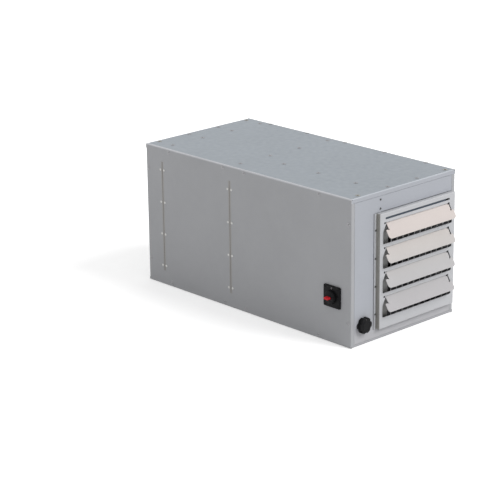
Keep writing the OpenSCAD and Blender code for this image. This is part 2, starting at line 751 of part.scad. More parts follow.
// Guard behind the louvres: upright wires in front of the opening, tied by cross wires
guard_pitch = 25;
cross_r = 1.25;
wire_r = 1.4;
guard_over = 5;
guard_end = 1;
guard_x0 = outlet_x0 + guard_pitch / 2;
guard_count = floor((outlet_x1 - guard_end - guard_x0) / guard_pitch);
guard_cross_count = 3;
weld = 0.2;
module outlet_guard() color([0.66, 0.67, 0.68]) {
    span = outlet_z1 - outlet_z0;
    for (i = [0 : guard_count])
        translate([guard_x0 + i * guard_pitch, front - wire_r, outlet_z0 - guard_over])
            cylinder(r = wire_r, h = span + 2 * guard_over);
    for (k = [0 : guard_cross_count - 1])
        translate([outlet_x0 + guard_end, front + cross_r - weld,
            outlet_z0 + span * (k + 1 / 2) / guard_cross_count])
            pin_x(cross_r, outlet_x1 - outlet_x0 - 2 * guard_end);
}

// Clips that hold the guard's end wires down, each with its screw
clip_w = 16;
clip_h = 7;
clip_wall = 0.7;
clip_t = 2 * wire_r + hole_fit + clip_wall;
clip_off = 3.8;
clip_at = 4;
clip_wires = [1, guard_count - 1];
clip_zs = [outlet_z0 - clip_off, outlet_z1 + clip_off];
guard_pts = [for (i = clip_wires, z = clip_zs) [guard_x0 + i * guard_pitch + clip_w / 2, z]];
module guard_clips() color([0.60, 0.61, 0.63])
    for (i = clip_wires, z = clip_zs) translate([guard_x0 + i * guard_pitch, front, z]) {
        difference() {
            translate([-clip_at, -clip_t, -clip_h / 2]) cube([clip_w, clip_t, clip_h]);
            translate([0, -wire_r, -clip_h]) cylinder(r = wire_r + hole_fit, h = 2 * clip_h);
            translate([-wire_r - hole_fit, -wire_r, -clip_h])
                cube([2 * (wire_r + hole_fit), 2 * clip_t, 2 * clip_h]);
        }
        translate([clip_w / 2, -clip_t, 0]) out_front() screw();
    }

// Inlet guard at the rear: a wire frame with cross wires and finer upright wires
guard_y = back + guard_frame_r;
frame_over = 5;
frame_r = 12;
inlet_wire_r = 1;
inlet_cross_pitch = 30;
inlet_upright_pitch = 15;
frame_w = inlet_w + 2 * frame_over;
frame_h = inlet_h + 2 * frame_over;
guard_rise = max(2 * guard_frame_r, guard_frame_r + guard_wire_r + 2 * inlet_wire_r - weld);
module inlet_guard() color([0.62, 0.63, 0.64]) translate([0, guard_y, axis_z]) {
    for (s = [-1, 1]) {
        translate([s * frame_w / 2, 0, frame_r - frame_h / 2])
            cylinder(r = guard_frame_r, h = frame_h - 2 * frame_r);
        translate([frame_r - frame_w / 2, 0, s * frame_h / 2]) pin_x(guard_frame_r, frame_w - 2 * frame_r);
    }
    for (q = [[1, 1, 0], [-1, 1, 90], [-1, -1, 180], [1, -1, 270]])
        translate([q[0] * (frame_w / 2 - frame_r), 0, q[1] * (frame_h / 2 - frame_r)])
            rotate([90, 0, 0]) rotate([0, 0, q[2]]) rotate_extrude(angle = 90)
                translate([frame_r, 0]) circle(guard_frame_r);
    n = floor((frame_h - 2 * frame_r) / inlet_cross_pitch / 2);
    for (k = [-n : n]) translate([-frame_w / 2, 0, k * inlet_cross_pitch])
        pin_x(guard_wire_r, frame_w);
    m = floor((frame_w - 2 * frame_r) / inlet_upright_pitch / 2);
    for (k = [-m : m])
        translate([k * inlet_upright_pitch, inlet_wire_r + guard_wire_r - weld, -frame_h / 2])
            cylinder(r = inlet_wire_r, h = frame_h);
}

module inlet_clamps() color([0.66, 0.66, 0.66])
    for (p = clamp_pts) translate([p[0], back, p[1]]) rotate([0, p[2], 0]) {
        inner = clamp_off - frame_over;
        difference() {
            translate([-clamp_l / 2, 0, -clamp_w / 2])
                cube([clamp_l, guard_rise + clamp_t + gap, clamp_w]);
            translate([inner - guard_frame_r - gap, -cut, -clamp_w])
                cube([clamp_l, cut + guard_rise + gap, 2 * clamp_w]);
            translate([-clamp_l, clamp_t, -clamp_w])
                cube([clamp_l + inner - guard_frame_r - gap - clamp_t, clamp_l, 2 * clamp_w]);
            out_back() screw_holes(bend_r);
        }
    }

// Fan: the motor hangs on a four-armed bracket behind the fan plate
bracket_turns = [45, 135, 225, 315];
bracket_bolt_at = 197;
bracket_end = 206;
bracket_t = 3;
bracket_w = 18;
bracket_y = front + fan_plate_y + sheet_t + gap;
motor_y = bracket_y + bracket_t + gap;
motor_bolt_at = 34;
boss_r = 14;
module motor_bracket() color([0.34, 0.35, 0.36]) translate([0, bracket_y, axis_z])
    along_y(bracket_t) difference() {
        union() {
            circle(motor_r);
            for (a = bracket_turns) rotate(a) {
                translate([0, -bracket_w / 2]) square([bracket_end - bracket_w / 2, bracket_w]);
                translate([bracket_end - bracket_w / 2, 0]) circle(bracket_w / 2);
            }
        }
        circle(boss_r + gap);
        for (a = bracket_turns, at = [motor_bolt_at, bracket_bolt_at])
            rotate(a) translate([at, 0]) circle(screw_r + hole_fit);
    }
module bracket_bolts() color([0.70, 0.70, 0.68]) for (a = bracket_turns) {
    translate([0, bracket_y + bracket_t, axis_z]) rotate([0, a, 0])
        translate([bracket_bolt_at, 0, 0]) out_back() screw();
    translate([0, bracket_y, axis_z]) rotate([0, a, 0])
        translate([motor_bolt_at, 0, 0]) out_front() screw(2 * screw_l);
}

motor_shell_t = 4;
motor_rib = 2;
motor_ribs = 6;
module fan_motor() color([0.30, 0.31, 0.33]) translate([0, motor_y, axis_z]) {
    difference() {
        rotate([-90, 0, 0]) {
            rotate_extrude() {
                square([motor_r - motor_rib, motor_l]);
                square([motor_r, motor_shell_t]);
                for (i = [1 : motor_ribs])
                    translate([0, motor_l * i / motor_ribs - motor_shell_t]) square([motor_r, motor_shell_t]);
            }
            translate([0, 0, -bracket_t]) cylinder(r = boss_r, h = bracket_t + cut);
        }
        translate([0, -bracket_t - cut, 0]) pin_y(shaft_r + run_fit, motor_l - motor_shell_t);
        for (a = bracket_turns) rotate([0, a, 0]) translate([motor_bolt_at, -cut, 0])
            pin_y(screw_r + hole_fit, 2 * screw_l);
    }
}
shaft_lead = 36;
shaft_from = fan_plate_y - shaft_lead;
module motor_shaft() color([0.75, 0.75, 0.76])
    translate([0, front + shaft_from, axis_z])
        pin_y(shaft_r, motor_y - front - shaft_from + motor_l - 3 * motor_shell_t);

hub_lead = 50;
hub_y0 = front + fan_plate_y - hub_lead;
hub_l = 47;
hub_t = 3;
hub_boss_r = 13;
hub_boss_l = 43;
module fan_hub() color([0.55, 0.56, 0.58]) translate([0, hub_y0, axis_z]) difference() {
    rotate([-90, 0, 0]) rotate_extrude() {
        difference() {
            union() {
                translate([0, bend_r]) square([hub_r, hub_l - bend_r]);
                square([hub_r - bend_r, bend_r]);
                translate([hub_r - bend_r, bend_r]) circle(bend_r);
            }
            translate([-hub_r, hub_t]) square([2 * hub_r - hub_t, hub_l]);
            translate([-hub_r, -hub_r]) square([hub_r, 2 * hub_r]);
        }
        translate([0, hub_t / 2]) square([hub_boss_r, hub_boss_l - hub_t]);
    }
    translate([0, front + shaft_from - hub_y0 - gap, 0]) pin_y(shaft_r + grip_fit, hub_l);
}

// Impeller blades: sections from root to tip, each with its share of the way out, of the
// tip's chord and of the root's thickness, and with its stagger third
tip_chord = 84;
root_t = 3.2;
blade_shares = [[0, 0.738, 38, 1], [0.2, 0.786, 34, 0.94], [0.4, 0.857, 30.5, 0.875],
    [0.6, 0.929, 27.5, 0.81], [0.8, 0.988, 24.5, 0.75], [1, 1, 22, 0.69]];
section_shares = [0, 0.03, 0.12, 0.3, 0.5, 0.7, 0.88, 0.97, 1];
camber_share = 0.07;
sweep_angle = 9;
root_in = 1;
function foil_point(s, share, side) =
    let (chord = s[1] * tip_chord, a = s[2], r = hub_r - root_in + s[0] * (tip_r - hub_r + root_in),
         t = s[3] * root_t * sqrt(max(0, 4 * share * (1 - share))) / 2 * side,
         u = (share - 0.5) * chord, w = 4 * camber_share * chord * share * (1 - share) + t,
         around = u * cos(a) - w * sin(a), along = u * sin(a) + w * cos(a),
         phi = around / r * 180 / PI + sweep_angle * s[0])
    [r * sin(phi), along, r * cos(phi)];
foil_n = len(section_shares) * 2 - 2;
function foil(s) = concat([for (q = section_shares) foil_point(s, q, 1)],
    [for (i = [len(section_shares) - 2 : -1 : 1]) foil_point(s, section_shares[i], -1)]);
module impeller_blade() {
    points = [for (s = blade_shares) each foil(s)];
    last = (len(blade_shares) - 1) * foil_n;
    faces = concat(
        [[for (i = [0 : foil_n - 1]) i]],
        [for (k = [0 : len(blade_shares) - 2], i = [0 : foil_n - 1])
            let (a = k * foil_n + i, b = k * foil_n + (i + 1) % foil_n)
            each [[a, a + foil_n, b], [b, a + foil_n, b + foil_n]]],
        [[for (i = [foil_n - 1 : -1 : 0]) last + i]]);
    polyhedron(points, faces);
}
blade_mid = 24;
module fan_blades() color([0.58, 0.59, 0.61])
    for (i = [0 : blades - 1]) translate([0, hub_y0 + blade_mid, axis_z])
        rotate([0, i * 360 / blades, 0]) impeller_blade();

// One element: a hairpin with a finned sleeve on each run and a screw terminal on each end
stud_from = 27;
bead_from = 15;
ferrule_from = 8;
sleeve_t = 0.8;
fin_count = floor((fins_to - fins_from) / fin_pitch);
module element_run() {
    x_wall = left + divider_x;
    translate([x_wall - stud_from, 0, 0]) pin_x(stud_r, stud_from);
    translate([x_wall - bead_from, 0, 0]) pin_x(bead_r, bead_from);
    translate([x_wall - ferrule_from, 0, 0]) pin_x(ferrule_r, ferrule_from + sheet_t + 2 * gap);
    translate([x_wall + sheet_t + gap, 0, 0]) pin_x(element_collar_r, element_collar_t);
    translate([x_wall, 0, 0]) pin_x(tube_r, bend_from - divider_x);
    translate([left + fins_from, 0, 0]) rotate([0, 90, 0]) rotate_extrude() {
        square([tube_r + sleeve_t, fin_count * fin_pitch + fin_t]);
        for (i = [0 : fin_count]) translate([0, i * fin_pitch]) square([fin_r, fin_t]);
    }
}
module heating_element(n) color([0.36, 0.37, 0.40]) {
    row = floor((n - 1) / 3);
    pair = (n - 1) % 3;
    for (k = [0, 1]) translate([0, row_ys[row], run_zs[2 * pair + k]]) element_run();
    translate([left + bend_from, row_ys[row], (run_zs[2 * pair] + run_zs[2 * pair + 1]) / 2])
        rotate([90, 0, 0]) rotate([0, 0, -90]) rotate_extrude(angle = 180)
            translate([run_pitch / 2, 0]) circle(tube_r);
}
module heating_element_1() heating_element(1);
module heating_element_2() heating_element(2);
module heating_element_3() heating_element(3);
module heating_element_4() heating_element(4);
module heating_element_5() heating_element(5);
module heating_element_6() heating_element(6);

// Upright strip that holds the elements' far ends
support_in = 4;
support_x = left + bend_from - support_in;
support_margin = 20;
support_foot = 12;
module element_support() color([0.62, 0.63, 0.64]) {
    y0 = row_ys[0] - support_margin;
    d = row_gap + 2 * support_margin;
    difference() {
        translate([support_x, y0, floor_z]) cube([sheet_t, d, ceil_z - floor_z]);
        for (y = row_ys, z = run_zs) translate([support_x - cut, y, z])
            pin_x(tube_r + hole_fit, sheet_t + 2 * cut);
    }
    for (z = [floor_z, ceil_z - sheet_t]) translate([support_x, y0, z]) cube([support_foot, d, sheet_t]);
}

nut_r = 10.4;
nut_t = 5;
module element_nuts() color([0.74, 0.72, 0.66])
    for (y = row_ys, z = run_zs) translate([left + divider_x - gap - nut_t, y, z]) difference() {
        rotate([0, 90, 0]) cylinder(r = nut_r, h = nut_t, $fn = 6);
        translate([-cut, 0, 0]) pin_x(ferrule_r + hole_fit, nut_t + 2 * cut);
    }

// Straps that join one terminal of each element of a row, with their nuts
link_from = 22;
link_t = 1.2;
link_w = 10;
link_off = 7;
link_nut_r = 4;
link_nut_t = 3.2;
module star_links() color([0.80, 0.62, 0.42])
    for (y = row_ys) translate([left + divider_x - link_from, y, 0]) {
        difference() {
            union() {
                translate([0, link_off, run_zs[1] - link_w / 2])
                    cube([link_t, link_w, run_zs[5] - run_zs[1] + link_w]);
                for (k = [1, 3, 5]) translate([0, 0, run_zs[k]]) {
                    pin_x(link_w / 2, link_t);
                    translate([0, 0, -link_w / 2]) cube([link_t, link_off + link_w / 2, link_w]);
                }
            }
            for (k = [1, 3, 5]) translate([-cut, 0, run_zs[k]]) pin_x(stud_r + run_fit, link_t + 2 * cut);
        }
        for (k = [1, 3, 5]) translate([-link_nut_t, 0, run_zs[k]]) difference() {
            rotate([0, 90, 0]) cylinder(r = link_nut_r, h = link_nut_t, $fn = 6);
            translate([-cut, 0, 0]) pin_x(stud_r + run_fit, link_nut_t + cut);
        }
    }

cutout_body = 9;
cutout_rim_t = 1.5;
cutout_tag = [8, 1, 5];
module overheat_cutout() color([0.24, 0.22, 0.20])
    translate([left + divider_x - gap, front + cutout_y, casing_h - cutout_drop]) {
        translate([-cutout_rim_t, 0, 0]) pin_x(cutout_r, cutout_rim_t);
        translate([-cutout_body, 0, 0]) pin_x(cutout_r * 2 / 3, cutout_body);
        translate([-cut, 0, 0]) pin_x(cutout_r / 2 - gap, 2 * cut + sheet_t);
        for (s = [-1, 1]) translate([-cutout_body - cutout_tag[0], s * cutout_r / 3, -cutout_tag[2] / 2])
            cube(cutout_tag + [cut, 0, 0]);
    }

// Isolator: plate and handle outside the left face, switch body inside, shaft between
isolator_t = 6;
isolator_corner = 6;
isolator_ring_r = 27;
isolator_ring_w = 2;
isolator_ring_t = 1.2;
isolator_hub_r = 21;
isolator_hub_t = 10;
isolator_bar = [2, 42, 12];
grip_size = [12, 24, 9];
isolator_shaft_r = 4;
isolator_body_w = 50;
isolator_body_d = 45;
isolator_seat = 6;
isolator_pin_out = 4;
isolator_hole_r = 6;
module isolator_at() translate([left, front + isolator_y, isolator_z]) children();
module isolator_plate() color([0.12, 0.12, 0.13]) isolator_at() difference() {
    union() {
        translate([-isolator_t, 0, 0]) along_x(isolator_t)
            round_rect(isolator_w, isolator_w, isolator_corner);
        translate([-isolator_t - isolator_ring_t, 0, 0]) difference() {
            pin_x(isolator_ring_r, isolator_ring_t + cut);
            translate([-cut, 0, 0]) pin_x(isolator_ring_r - isolator_ring_w, isolator_ring_t + cut);
        }
    }
    translate([-isolator_t - cut, 0, 0]) pin_x(isolator_shaft_r + run_fit, isolator_t + 2 * cut);
}
module isolator_handle() color([0.10, 0.10, 0.11]) isolator_at() {
    x0 = -isolator_t - gap - isolator_hub_t;
    difference() {
        union() {
            translate([x0, 0, 0]) pin_x(isolator_hub_r, isolator_hub_t);
            translate([x0 - isolator_bar[0], -isolator_bar[1] / 2, -isolator_bar[2] / 2])
                cube(isolator_bar + [cut, 0, 0]);
        }
        translate([x0 + isolator_pin_out, 0, 0]) pin_x(isolator_shaft_r + grip_fit, isolator_hub_t);
    }
}
module isolator_grip() color([0.86, 0.12, 0.15]) isolator_at()
    translate([-isolator_t - gap - isolator_hub_t - isolator_bar[0] - grip_size[0], 0, 0])
        along_x(grip_size[0]) round_rect(grip_size[1], grip_size[2], grip_size[2] / 3);
module isolator_shaft() color([0.72, 0.72, 0.73]) isolator_at() {
    x0 = -isolator_t - isolator_hub_t + isolator_pin_out;
    translate([x0, 0, 0]) pin_x(isolator_shaft_r, -x0 + floor_z + isolator_body_d / 2);
}
module isolator_body() color([0.20, 0.20, 0.21]) isolator_at() difference() {
    union() {
        translate([floor_z, 0, 0]) along_x(isolator_body_d)
            round_rect(isolator_body_w, isolator_body_w, isolator_corner / 2);
        for (s = [-1, 1], x = [floor_z + isolator_body_d / 3, floor_z + isolator_body_d * 2 / 3])
            translate([x, s * isolator_body_w / 2, -isolator_body_w / 3])
                cylinder(r = isolator_corner, h = isolator_body_w * 2 / 3);
    }
    translate([floor_z - cut, 0, 0]) pin_x(isolator_shaft_r + run_fit, isolator_body_d / 2 + 2 * cut);
}

// Thermostat behind the front panel and its lobed knob
bush_r = 5;
bush_out = 4;
bush_nut_r = 8;
bush_nut_t = 2.5;
stat_w = 36;
stat_d = 30;
knob_shaft_r = 3;
knob_lobes = 6;
knob_scallop_r = 9;
knob_scallop_at = 4.5;
knob_nose_r = 4;
knob_cap_r = 15;
knob_cap_t = 1;
knob_recess_r = 10;
knob_recess_d = 5.5;
knob_wall = 5;
module knob_at() translate([left + knob_x, front, knob_z]) children();
module control_knob() color([0.07, 0.07, 0.08]) knob_at()
    translate([0, -gap, 0]) out_front() difference() {
        union() {
            lobe_d = knob_d - knob_cap_t;
            intersection() {
                linear_extrude(lobe_d) difference() {
                    circle(knob_r);
                    for (i = [0 : knob_lobes - 1]) rotate((i + 1 / 2) * 360 / knob_lobes)
                        translate([knob_r + knob_scallop_at, 0]) circle(knob_scallop_r);
                }
                rotate_extrude() {
                    square([knob_r, lobe_d - knob_nose_r]);
                    square([knob_r - knob_nose_r, lobe_d]);
                    translate([knob_r - knob_nose_r, lobe_d - knob_nose_r]) circle(knob_nose_r);
                }
            }
            cylinder(r = knob_cap_r, h = knob_d);
        }
        translate([0, 0, -cut]) cylinder(r = knob_recess_r, h = knob_recess_d + cut);
        cylinder(r = knob_shaft_r + grip_fit, h = knob_d - knob_wall);
    }
module knob_shaft() color([0.72, 0.72, 0.73]) knob_at()
    translate([0, -knob_d + knob_wall + gap, 0])
        pin_y(knob_shaft_r, knob_d - knob_wall - gap + stat_d / 2);
module thermostat_body() color([0.80, 0.80, 0.76]) knob_at() difference() {
    union() {
        translate([-stat_w / 2, floor_z, -stat_w / 2]) cube([stat_w, stat_d, stat_w]);
        translate([0, -bush_out, 0]) pin_y(bush_r, bush_out + floor_z + cut);
        translate([0, -gap, 0]) out_front() cylinder(r = bush_nut_r, h = bush_nut_t, $fn = 6);
    }
    translate([0, -bush_out - cut, 0]) pin_y(knob_shaft_r + run_fit, bush_out + stat_d / 2 + 2 * cut);
}

// Switchgear on the divider's dry side
plate_stand = 12;
plate_t = 2;
plate_lead = 26;
plate_l = 150;
plate_y0 = front + bulkhead_y - plate_lead - plate_l;
plate_z0 = 60;
plate_top = 70;
plate_h = casing_h - plate_z0 - plate_top;
stand_r = 4;
stand_in = 12;
din_w = 35;
din_d = 7.5;
din_t = 1;
din_lip = 4;
din_l = 134;
din_shares = [0.28, 0.72];
din_rises = din_shares * plate_h;
plate_x = left + divider_x - plate_stand - plate_t;
module component_plate() color([0.72, 0.72, 0.70]) {
    translate([plate_x, plate_y0, plate_z0]) cube([plate_t, plate_l, plate_h]);
    for (y = [stand_in, plate_l - stand_in], z = [stand_in, plate_h - stand_in])
        translate([plate_x, plate_y0 + y, plate_z0 + z]) pin_x(stand_r, plate_stand + plate_t - gap);
}
module din_rails() color([0.78, 0.77, 0.70])
    for (z = din_rises) translate([plate_x, plate_y0 + (plate_l - din_l) / 2, plate_z0 + z])
        along_y(din_l) {
            inner = din_w / 2 - din_lip;
            translate([-din_t, -inner]) square([din_t, 2 * inner]);
            for (s = [-1, 1]) {
                translate([-din_d, s * inner - din_t / 2]) square([din_d, din_t]);
                translate([-din_d, min(s * inner, s * din_w / 2)]) square([din_t, din_lip]);
            }
        }
contactor_w = 45;
contactor_h = 78;
contactor_d = 72;
contactor_gap = 8;
contactor_step = 14;
rail_x = plate_x - din_d - gap;
module contactors() color([0.22, 0.23, 0.25])
    for (i = [0, 1]) translate([rail_x, plate_y0 + plate_l / 2, plate_z0 + din_rises[1]]) {
        y0 = i == 0 ? -contactor_w - contactor_gap / 2 : contactor_gap / 2;
        translate([-contactor_d * 3 / 4, y0, -contactor_h / 2])
            cube([contactor_d * 3 / 4, contactor_w, contactor_h]);
        translate([-contactor_d, y0, contactor_step - contactor_h / 2])
            cube([contactor_d, contactor_w, contactor_h - 2 * contactor_step]);
        for (k = [0 : 2], s = [-1, 1])
            translate([-contactor_d * 3 / 4, y0 + contactor_w * (k + 1 / 2) / 3,
                s * (contactor_h - contactor_step) / 2])
                out_left() cylinder(r = screw_head_r, h = screw_head_h);
    }
terminal_w = 11;
terminal_h = 46;
terminal_d = 36;
terminal_count = 9;
module terminal_block() color([0.62, 0.63, 0.60])
    for (i = [0 : terminal_count - 1])
        translate([rail_x - terminal_d, plate_y0 + plate_l / 2 + (i - terminal_count / 2) * terminal_w,
            plate_z0 + din_rises[0] - terminal_h / 2])
            difference() {
                union() {
                    cube([terminal_d, terminal_w, terminal_h * 3 / 4]);
                    translate([terminal_d / 3, 0, 0]) cube([terminal_d * 2 / 3, terminal_w, terminal_h]);
                }
                for (z = [terminal_h / 6, terminal_h * 7 / 12])
                    translate([-cut, terminal_w / 2, z]) pin_x(screw_head_r, screw_head_r + cut);
            }

conduit_r = 10;
conduit_t = 1.5;
conduit_lead = 26;
conduit_from = bulkhead_y - conduit_lead;
gland_in = 20;
gland_nut_r = 14.5;
gland_nut_t = 5;
gland_dome_r = 12;
gland_dome_l = 14;
gland_bore_r = 6.5;
module cable_conduit() color([0.40, 0.41, 0.42])
    translate([left + gland_x, front + conduit_from, gland_z]) difference() {
        l = casing_l - conduit_from - gland_in - gap;
        pin_y(conduit_r, l);
        translate([0, -cut, 0]) pin_y(conduit_r - conduit_t, l + 2 * cut);
    }
module cable_gland() color([0.15, 0.15, 0.16])
    translate([left + gland_x, back, gland_z]) difference() {
        union() {
            translate([0, -gland_in, 0]) pin_y(gland_r, gland_in + cut);
            translate([0, -sheet_t - gap - gland_nut_t, 0]) out_back()
                cylinder(r = gland_nut_r, h = gland_nut_t, $fn = 6);
            translate([0, gap, 0]) out_back() cylinder(r = gland_nut_r, h = gland_nut_t, $fn = 6);
            out_back() rotate_extrude() {
                square([gland_dome_r, gland_dome_l]);
                square([gland_dome_r - bend_r, gland_dome_l + bend_r]);
                translate([gland_dome_r - bend_r, gland_dome_l]) circle(bend_r);
            }
        }
        translate([0, -gland_in - cut, 0]) pin_y(gland_bore_r, gland_in + gland_dome_l + bend_r + 2 * cut);
    }

// Fasteners, grouped by the panel that they hold
module side_screws() color([0.45, 0.45, 0.46]) {
    for (p = side_pts(true)) translate([left, p[0], p[1]]) out_left() screw();
    for (p = side_pts(false)) translate([right, p[0], p[1]]) out_right() screw();
}
module seam_rivets() color([0.74, 0.74, 0.74]) for (p = pair_pts) {
    translate([left, p[0], p[1]]) out_left() rivet();
    translate([right, p[0], p[1]]) out_right() rivet();
}
module roof_screws() color([0.45, 0.45, 0.46]) for (p = roof_pts)
    translate([p[0], p[1], casing_h]) screw();
module front_screws() color([0.45, 0.45, 0.46]) {
    for (p = box_pts) translate([p[0], front - sheet_t, p[1]]) out_front() screw();
    for (p = panel_pts) translate([p[0], front, p[1]]) out_front() screw();
}
module rear_screws() color([0.45, 0.45, 0.46]) {
    for (p = rear_pts) translate([p[0], back, p[1]]) out_back() screw();
    for (p = clamp_pts) translate([p[0], back + clamp_t, p[1]]) out_back() screw();
}

base_pan();
roof_panel();
left_side_panel();
right_side_panel();
front_panel();
rear_panel();
corner_posts();
frame_rails();
hanger_rails();
fan_ring();
threaded_inserts();
divider_wall();
front_bulkhead();
fan_plate();
louvre_box();
pivot_rails();
louvre_rods();
louvre_blade_1();
louvre_blade_2();
louvre_blade_3();
louvre_blade_4();
outlet_guard();
guard_clips();
inlet_guard();
inlet_clamps();
motor_bracket();
fan_motor();
motor_shaft();
fan_hub();
fan_blades();
heating_element_1();
heating_element_2();
heating_element_3();
heating_element_4();
heating_element_5();
heating_element_6();
element_support();
element_nuts();
star_links();
overheat_cutout();
isolator_plate();
isolator_handle();
isolator_grip();
isolator_shaft();
isolator_body();
control_knob();
knob_shaft();
thermostat_body();
component_plate();
din_rails();
contactors();
terminal_block();
cable_conduit();
cable_gland();
side_screws();
seam_rivets();
roof_screws();
front_screws();
rear_screws();
bracket_bolts();
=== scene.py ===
"""Ceiling mounted fan heater: materials, small fixings, mouldings, light and camera.

Every length is in metres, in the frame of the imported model: the origin is the centre of
the casing's underside, +X is right as seen from the louvred front, and -Y is forward.
"""
import json
import math

import bmesh
import bpy
from mathutils import Matrix, Vector


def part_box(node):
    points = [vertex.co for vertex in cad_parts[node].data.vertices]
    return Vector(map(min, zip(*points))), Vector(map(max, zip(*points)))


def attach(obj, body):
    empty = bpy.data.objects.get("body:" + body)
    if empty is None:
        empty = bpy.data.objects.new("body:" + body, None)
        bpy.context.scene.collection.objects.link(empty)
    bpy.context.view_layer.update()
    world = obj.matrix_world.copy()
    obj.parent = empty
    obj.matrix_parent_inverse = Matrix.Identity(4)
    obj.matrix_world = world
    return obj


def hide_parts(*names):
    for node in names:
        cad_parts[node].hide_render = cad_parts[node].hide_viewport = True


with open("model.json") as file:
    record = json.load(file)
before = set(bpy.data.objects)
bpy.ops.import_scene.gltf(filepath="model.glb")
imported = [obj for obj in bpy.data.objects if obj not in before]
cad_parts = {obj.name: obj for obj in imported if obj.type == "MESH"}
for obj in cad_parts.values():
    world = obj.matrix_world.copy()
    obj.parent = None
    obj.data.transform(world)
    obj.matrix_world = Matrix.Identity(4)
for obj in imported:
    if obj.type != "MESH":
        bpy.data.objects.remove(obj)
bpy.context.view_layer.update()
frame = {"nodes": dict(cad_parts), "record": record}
nodes = frame["nodes"]
scene = bpy.context.scene

MM = 0.001
CASING_W, CASING_L, CASING_H = 0.445, 0.890, 0.450
LEFT, FRONT = -CASING_W / 2, -CASING_L / 2
RIGHT = CASING_W / 2


# Materials
def linear(r, g, b):
    """A display colour, 0 to 255, as linear light."""
    def one(v):
        v /= 255
        return v / 12.92 if v <= 0.04045 else ((v + 0.055) / 1.055) ** 2.4
    return (one(r), one(g), one(b))


class Surface:
    """A procedural material: one shader, and helpers that add texture nodes to it."""

    def __init__(self, name, roughness, metallic=0.0, specular=0.5):
        self.mat = bpy.data.materials.new(name)
        self.mat.use_nodes = True
        self.nodes = self.mat.node_tree.nodes
        self.links = self.mat.node_tree.links
        self.bsdf = self.nodes["Principled BSDF"]
        self.bsdf.inputs["Roughness"].default_value = roughness
        self.bsdf.inputs["Metallic"].default_value = metallic
        self.bsdf.inputs["Specular IOR Level"].default_value = specular
        self.coords = self.nodes.new("ShaderNodeTexCoord").outputs["Object"]

    def link(self, a, b):
        self.links.new(a, b)

    def stretched(self, scale):
        """The piece's coordinates, scaled along each axis."""
        m = self.nodes.new("ShaderNodeMapping")
        m.inputs["Scale"].default_value = scale
        self.link(self.coords, m.inputs["Vector"])
        return m.outputs["Vector"]

    def noise(self, scale, detail=3.0, roughness=0.5, vector=None):
        n = self.nodes.new("ShaderNodeTexNoise")
        n.inputs["Scale"].default_value = scale
        n.inputs["Detail"].default_value = detail
        n.inputs["Roughness"].default_value = roughness
        self.link(vector or self.coords, n.inputs["Vector"])
        return n.outputs["Fac"]

    def cells(self, scale, output="Color"):
        n = self.nodes.new("ShaderNodeTexVoronoi")
        n.inputs["Scale"].default_value = scale
        self.link(self.coords, n.inputs["Vector"])
        return n.outputs[output]

    def ramp(self, value, stops):
        """A colour ramp; each of the stops is (position, colour)."""
        r = self.nodes.new("ShaderNodeValToRGB")
        e = r.color_ramp.elements
        while len(e) < len(stops):
            e.new(0.5)
        for item, (at, colour) in zip(e, stops):
            item.position = at
            item.color = (*colour, 1)
        self.link(value, r.inputs["Fac"])
        return r.outputs["Color"]

    def scaled(self, value, low, high, from_low=0.3, from_high=0.7):
        """A value mapped to the range from low to high, and held at its ends."""
        m = self.nodes.new("ShaderNodeMapRange")
        m.inputs["From Min"].default_value = from_low
        m.inputs["From Max"].default_value = from_high
        m.inputs["To Min"].default_value = low
        m.inputs["To Max"].default_value = high
        self.link(value, m.inputs["Value"])
        return m.outputs["Result"]

    def mix(self, factor, a, b, blend="MIX"):
        """Two colours mixed; a and b are sockets or colours."""
        m = self.nodes.new("ShaderNodeMix")
        m.data_type = "RGBA"
        m.blend_type = blend
        m.clamp_factor = True
        for value, socket in ((factor, m.inputs["Factor"]), (a, m.inputs["A"]), (b, m.inputs["B"])):
            if isinstance(value, (int, float)):
                socket.default_value = value
            elif isinstance(value, tuple):
                socket.default_value = (*value, 1)
            else:
                self.link(value, socket)
        return m.outputs["Result"]

    def place(self, axis):
        """A coordinate of the piece."""
        n = self.nodes.new("ShaderNodeSeparateXYZ")
        self.link(self.coords, n.inputs["Vector"])
        return n.outputs[axis]

    def math(self, operation, a, b):
        """One operation on two sockets or numbers."""
        n = self.nodes.new("ShaderNodeMath")
        n.operation = operation
        for socket, value in zip(n.inputs, (a, b)):
            if isinstance(value, float):
                socket.default_value = value
            else:
                self.link(value, socket)
        return n.outputs[0]

    def within(self, **ranges):
        """One inside the given ranges of X, Y and Z, else zero."""
        out = 1.0
        for axis, (low, high) in ranges.items():
            out = self.math("MULTIPLY", out, self.math("GREATER_THAN", self.place(axis), low))
            out = self.math("MULTIPLY", out, self.math("LESS_THAN", self.place(axis), high))
        return out

    def colour(self, socket):
        self.link(socket, self.bsdf.inputs["Base Color"])

    def rough(self, socket):
        self.link(socket, self.bsdf.inputs["Roughness"])

    def bump(self, *heights):
        """Each height is (socket, strength, distance); the first is the finest."""
        normal = None
        for socket, strength, distance in heights:
            b = self.nodes.new("ShaderNodeBump")
            b.inputs["Strength"].default_value = strength
            b.inputs["Distance"].default_value = distance
            self.link(socket, b.inputs["Height"])
            if normal:
                self.link(normal, b.inputs["Normal"])
            normal = b.outputs["Normal"]
        self.link(normal, self.bsdf.inputs["Normal"])


def shade(c, k):
    """A colour times k, held below one."""
    return tuple(min(1.0, v * k) for v in c)


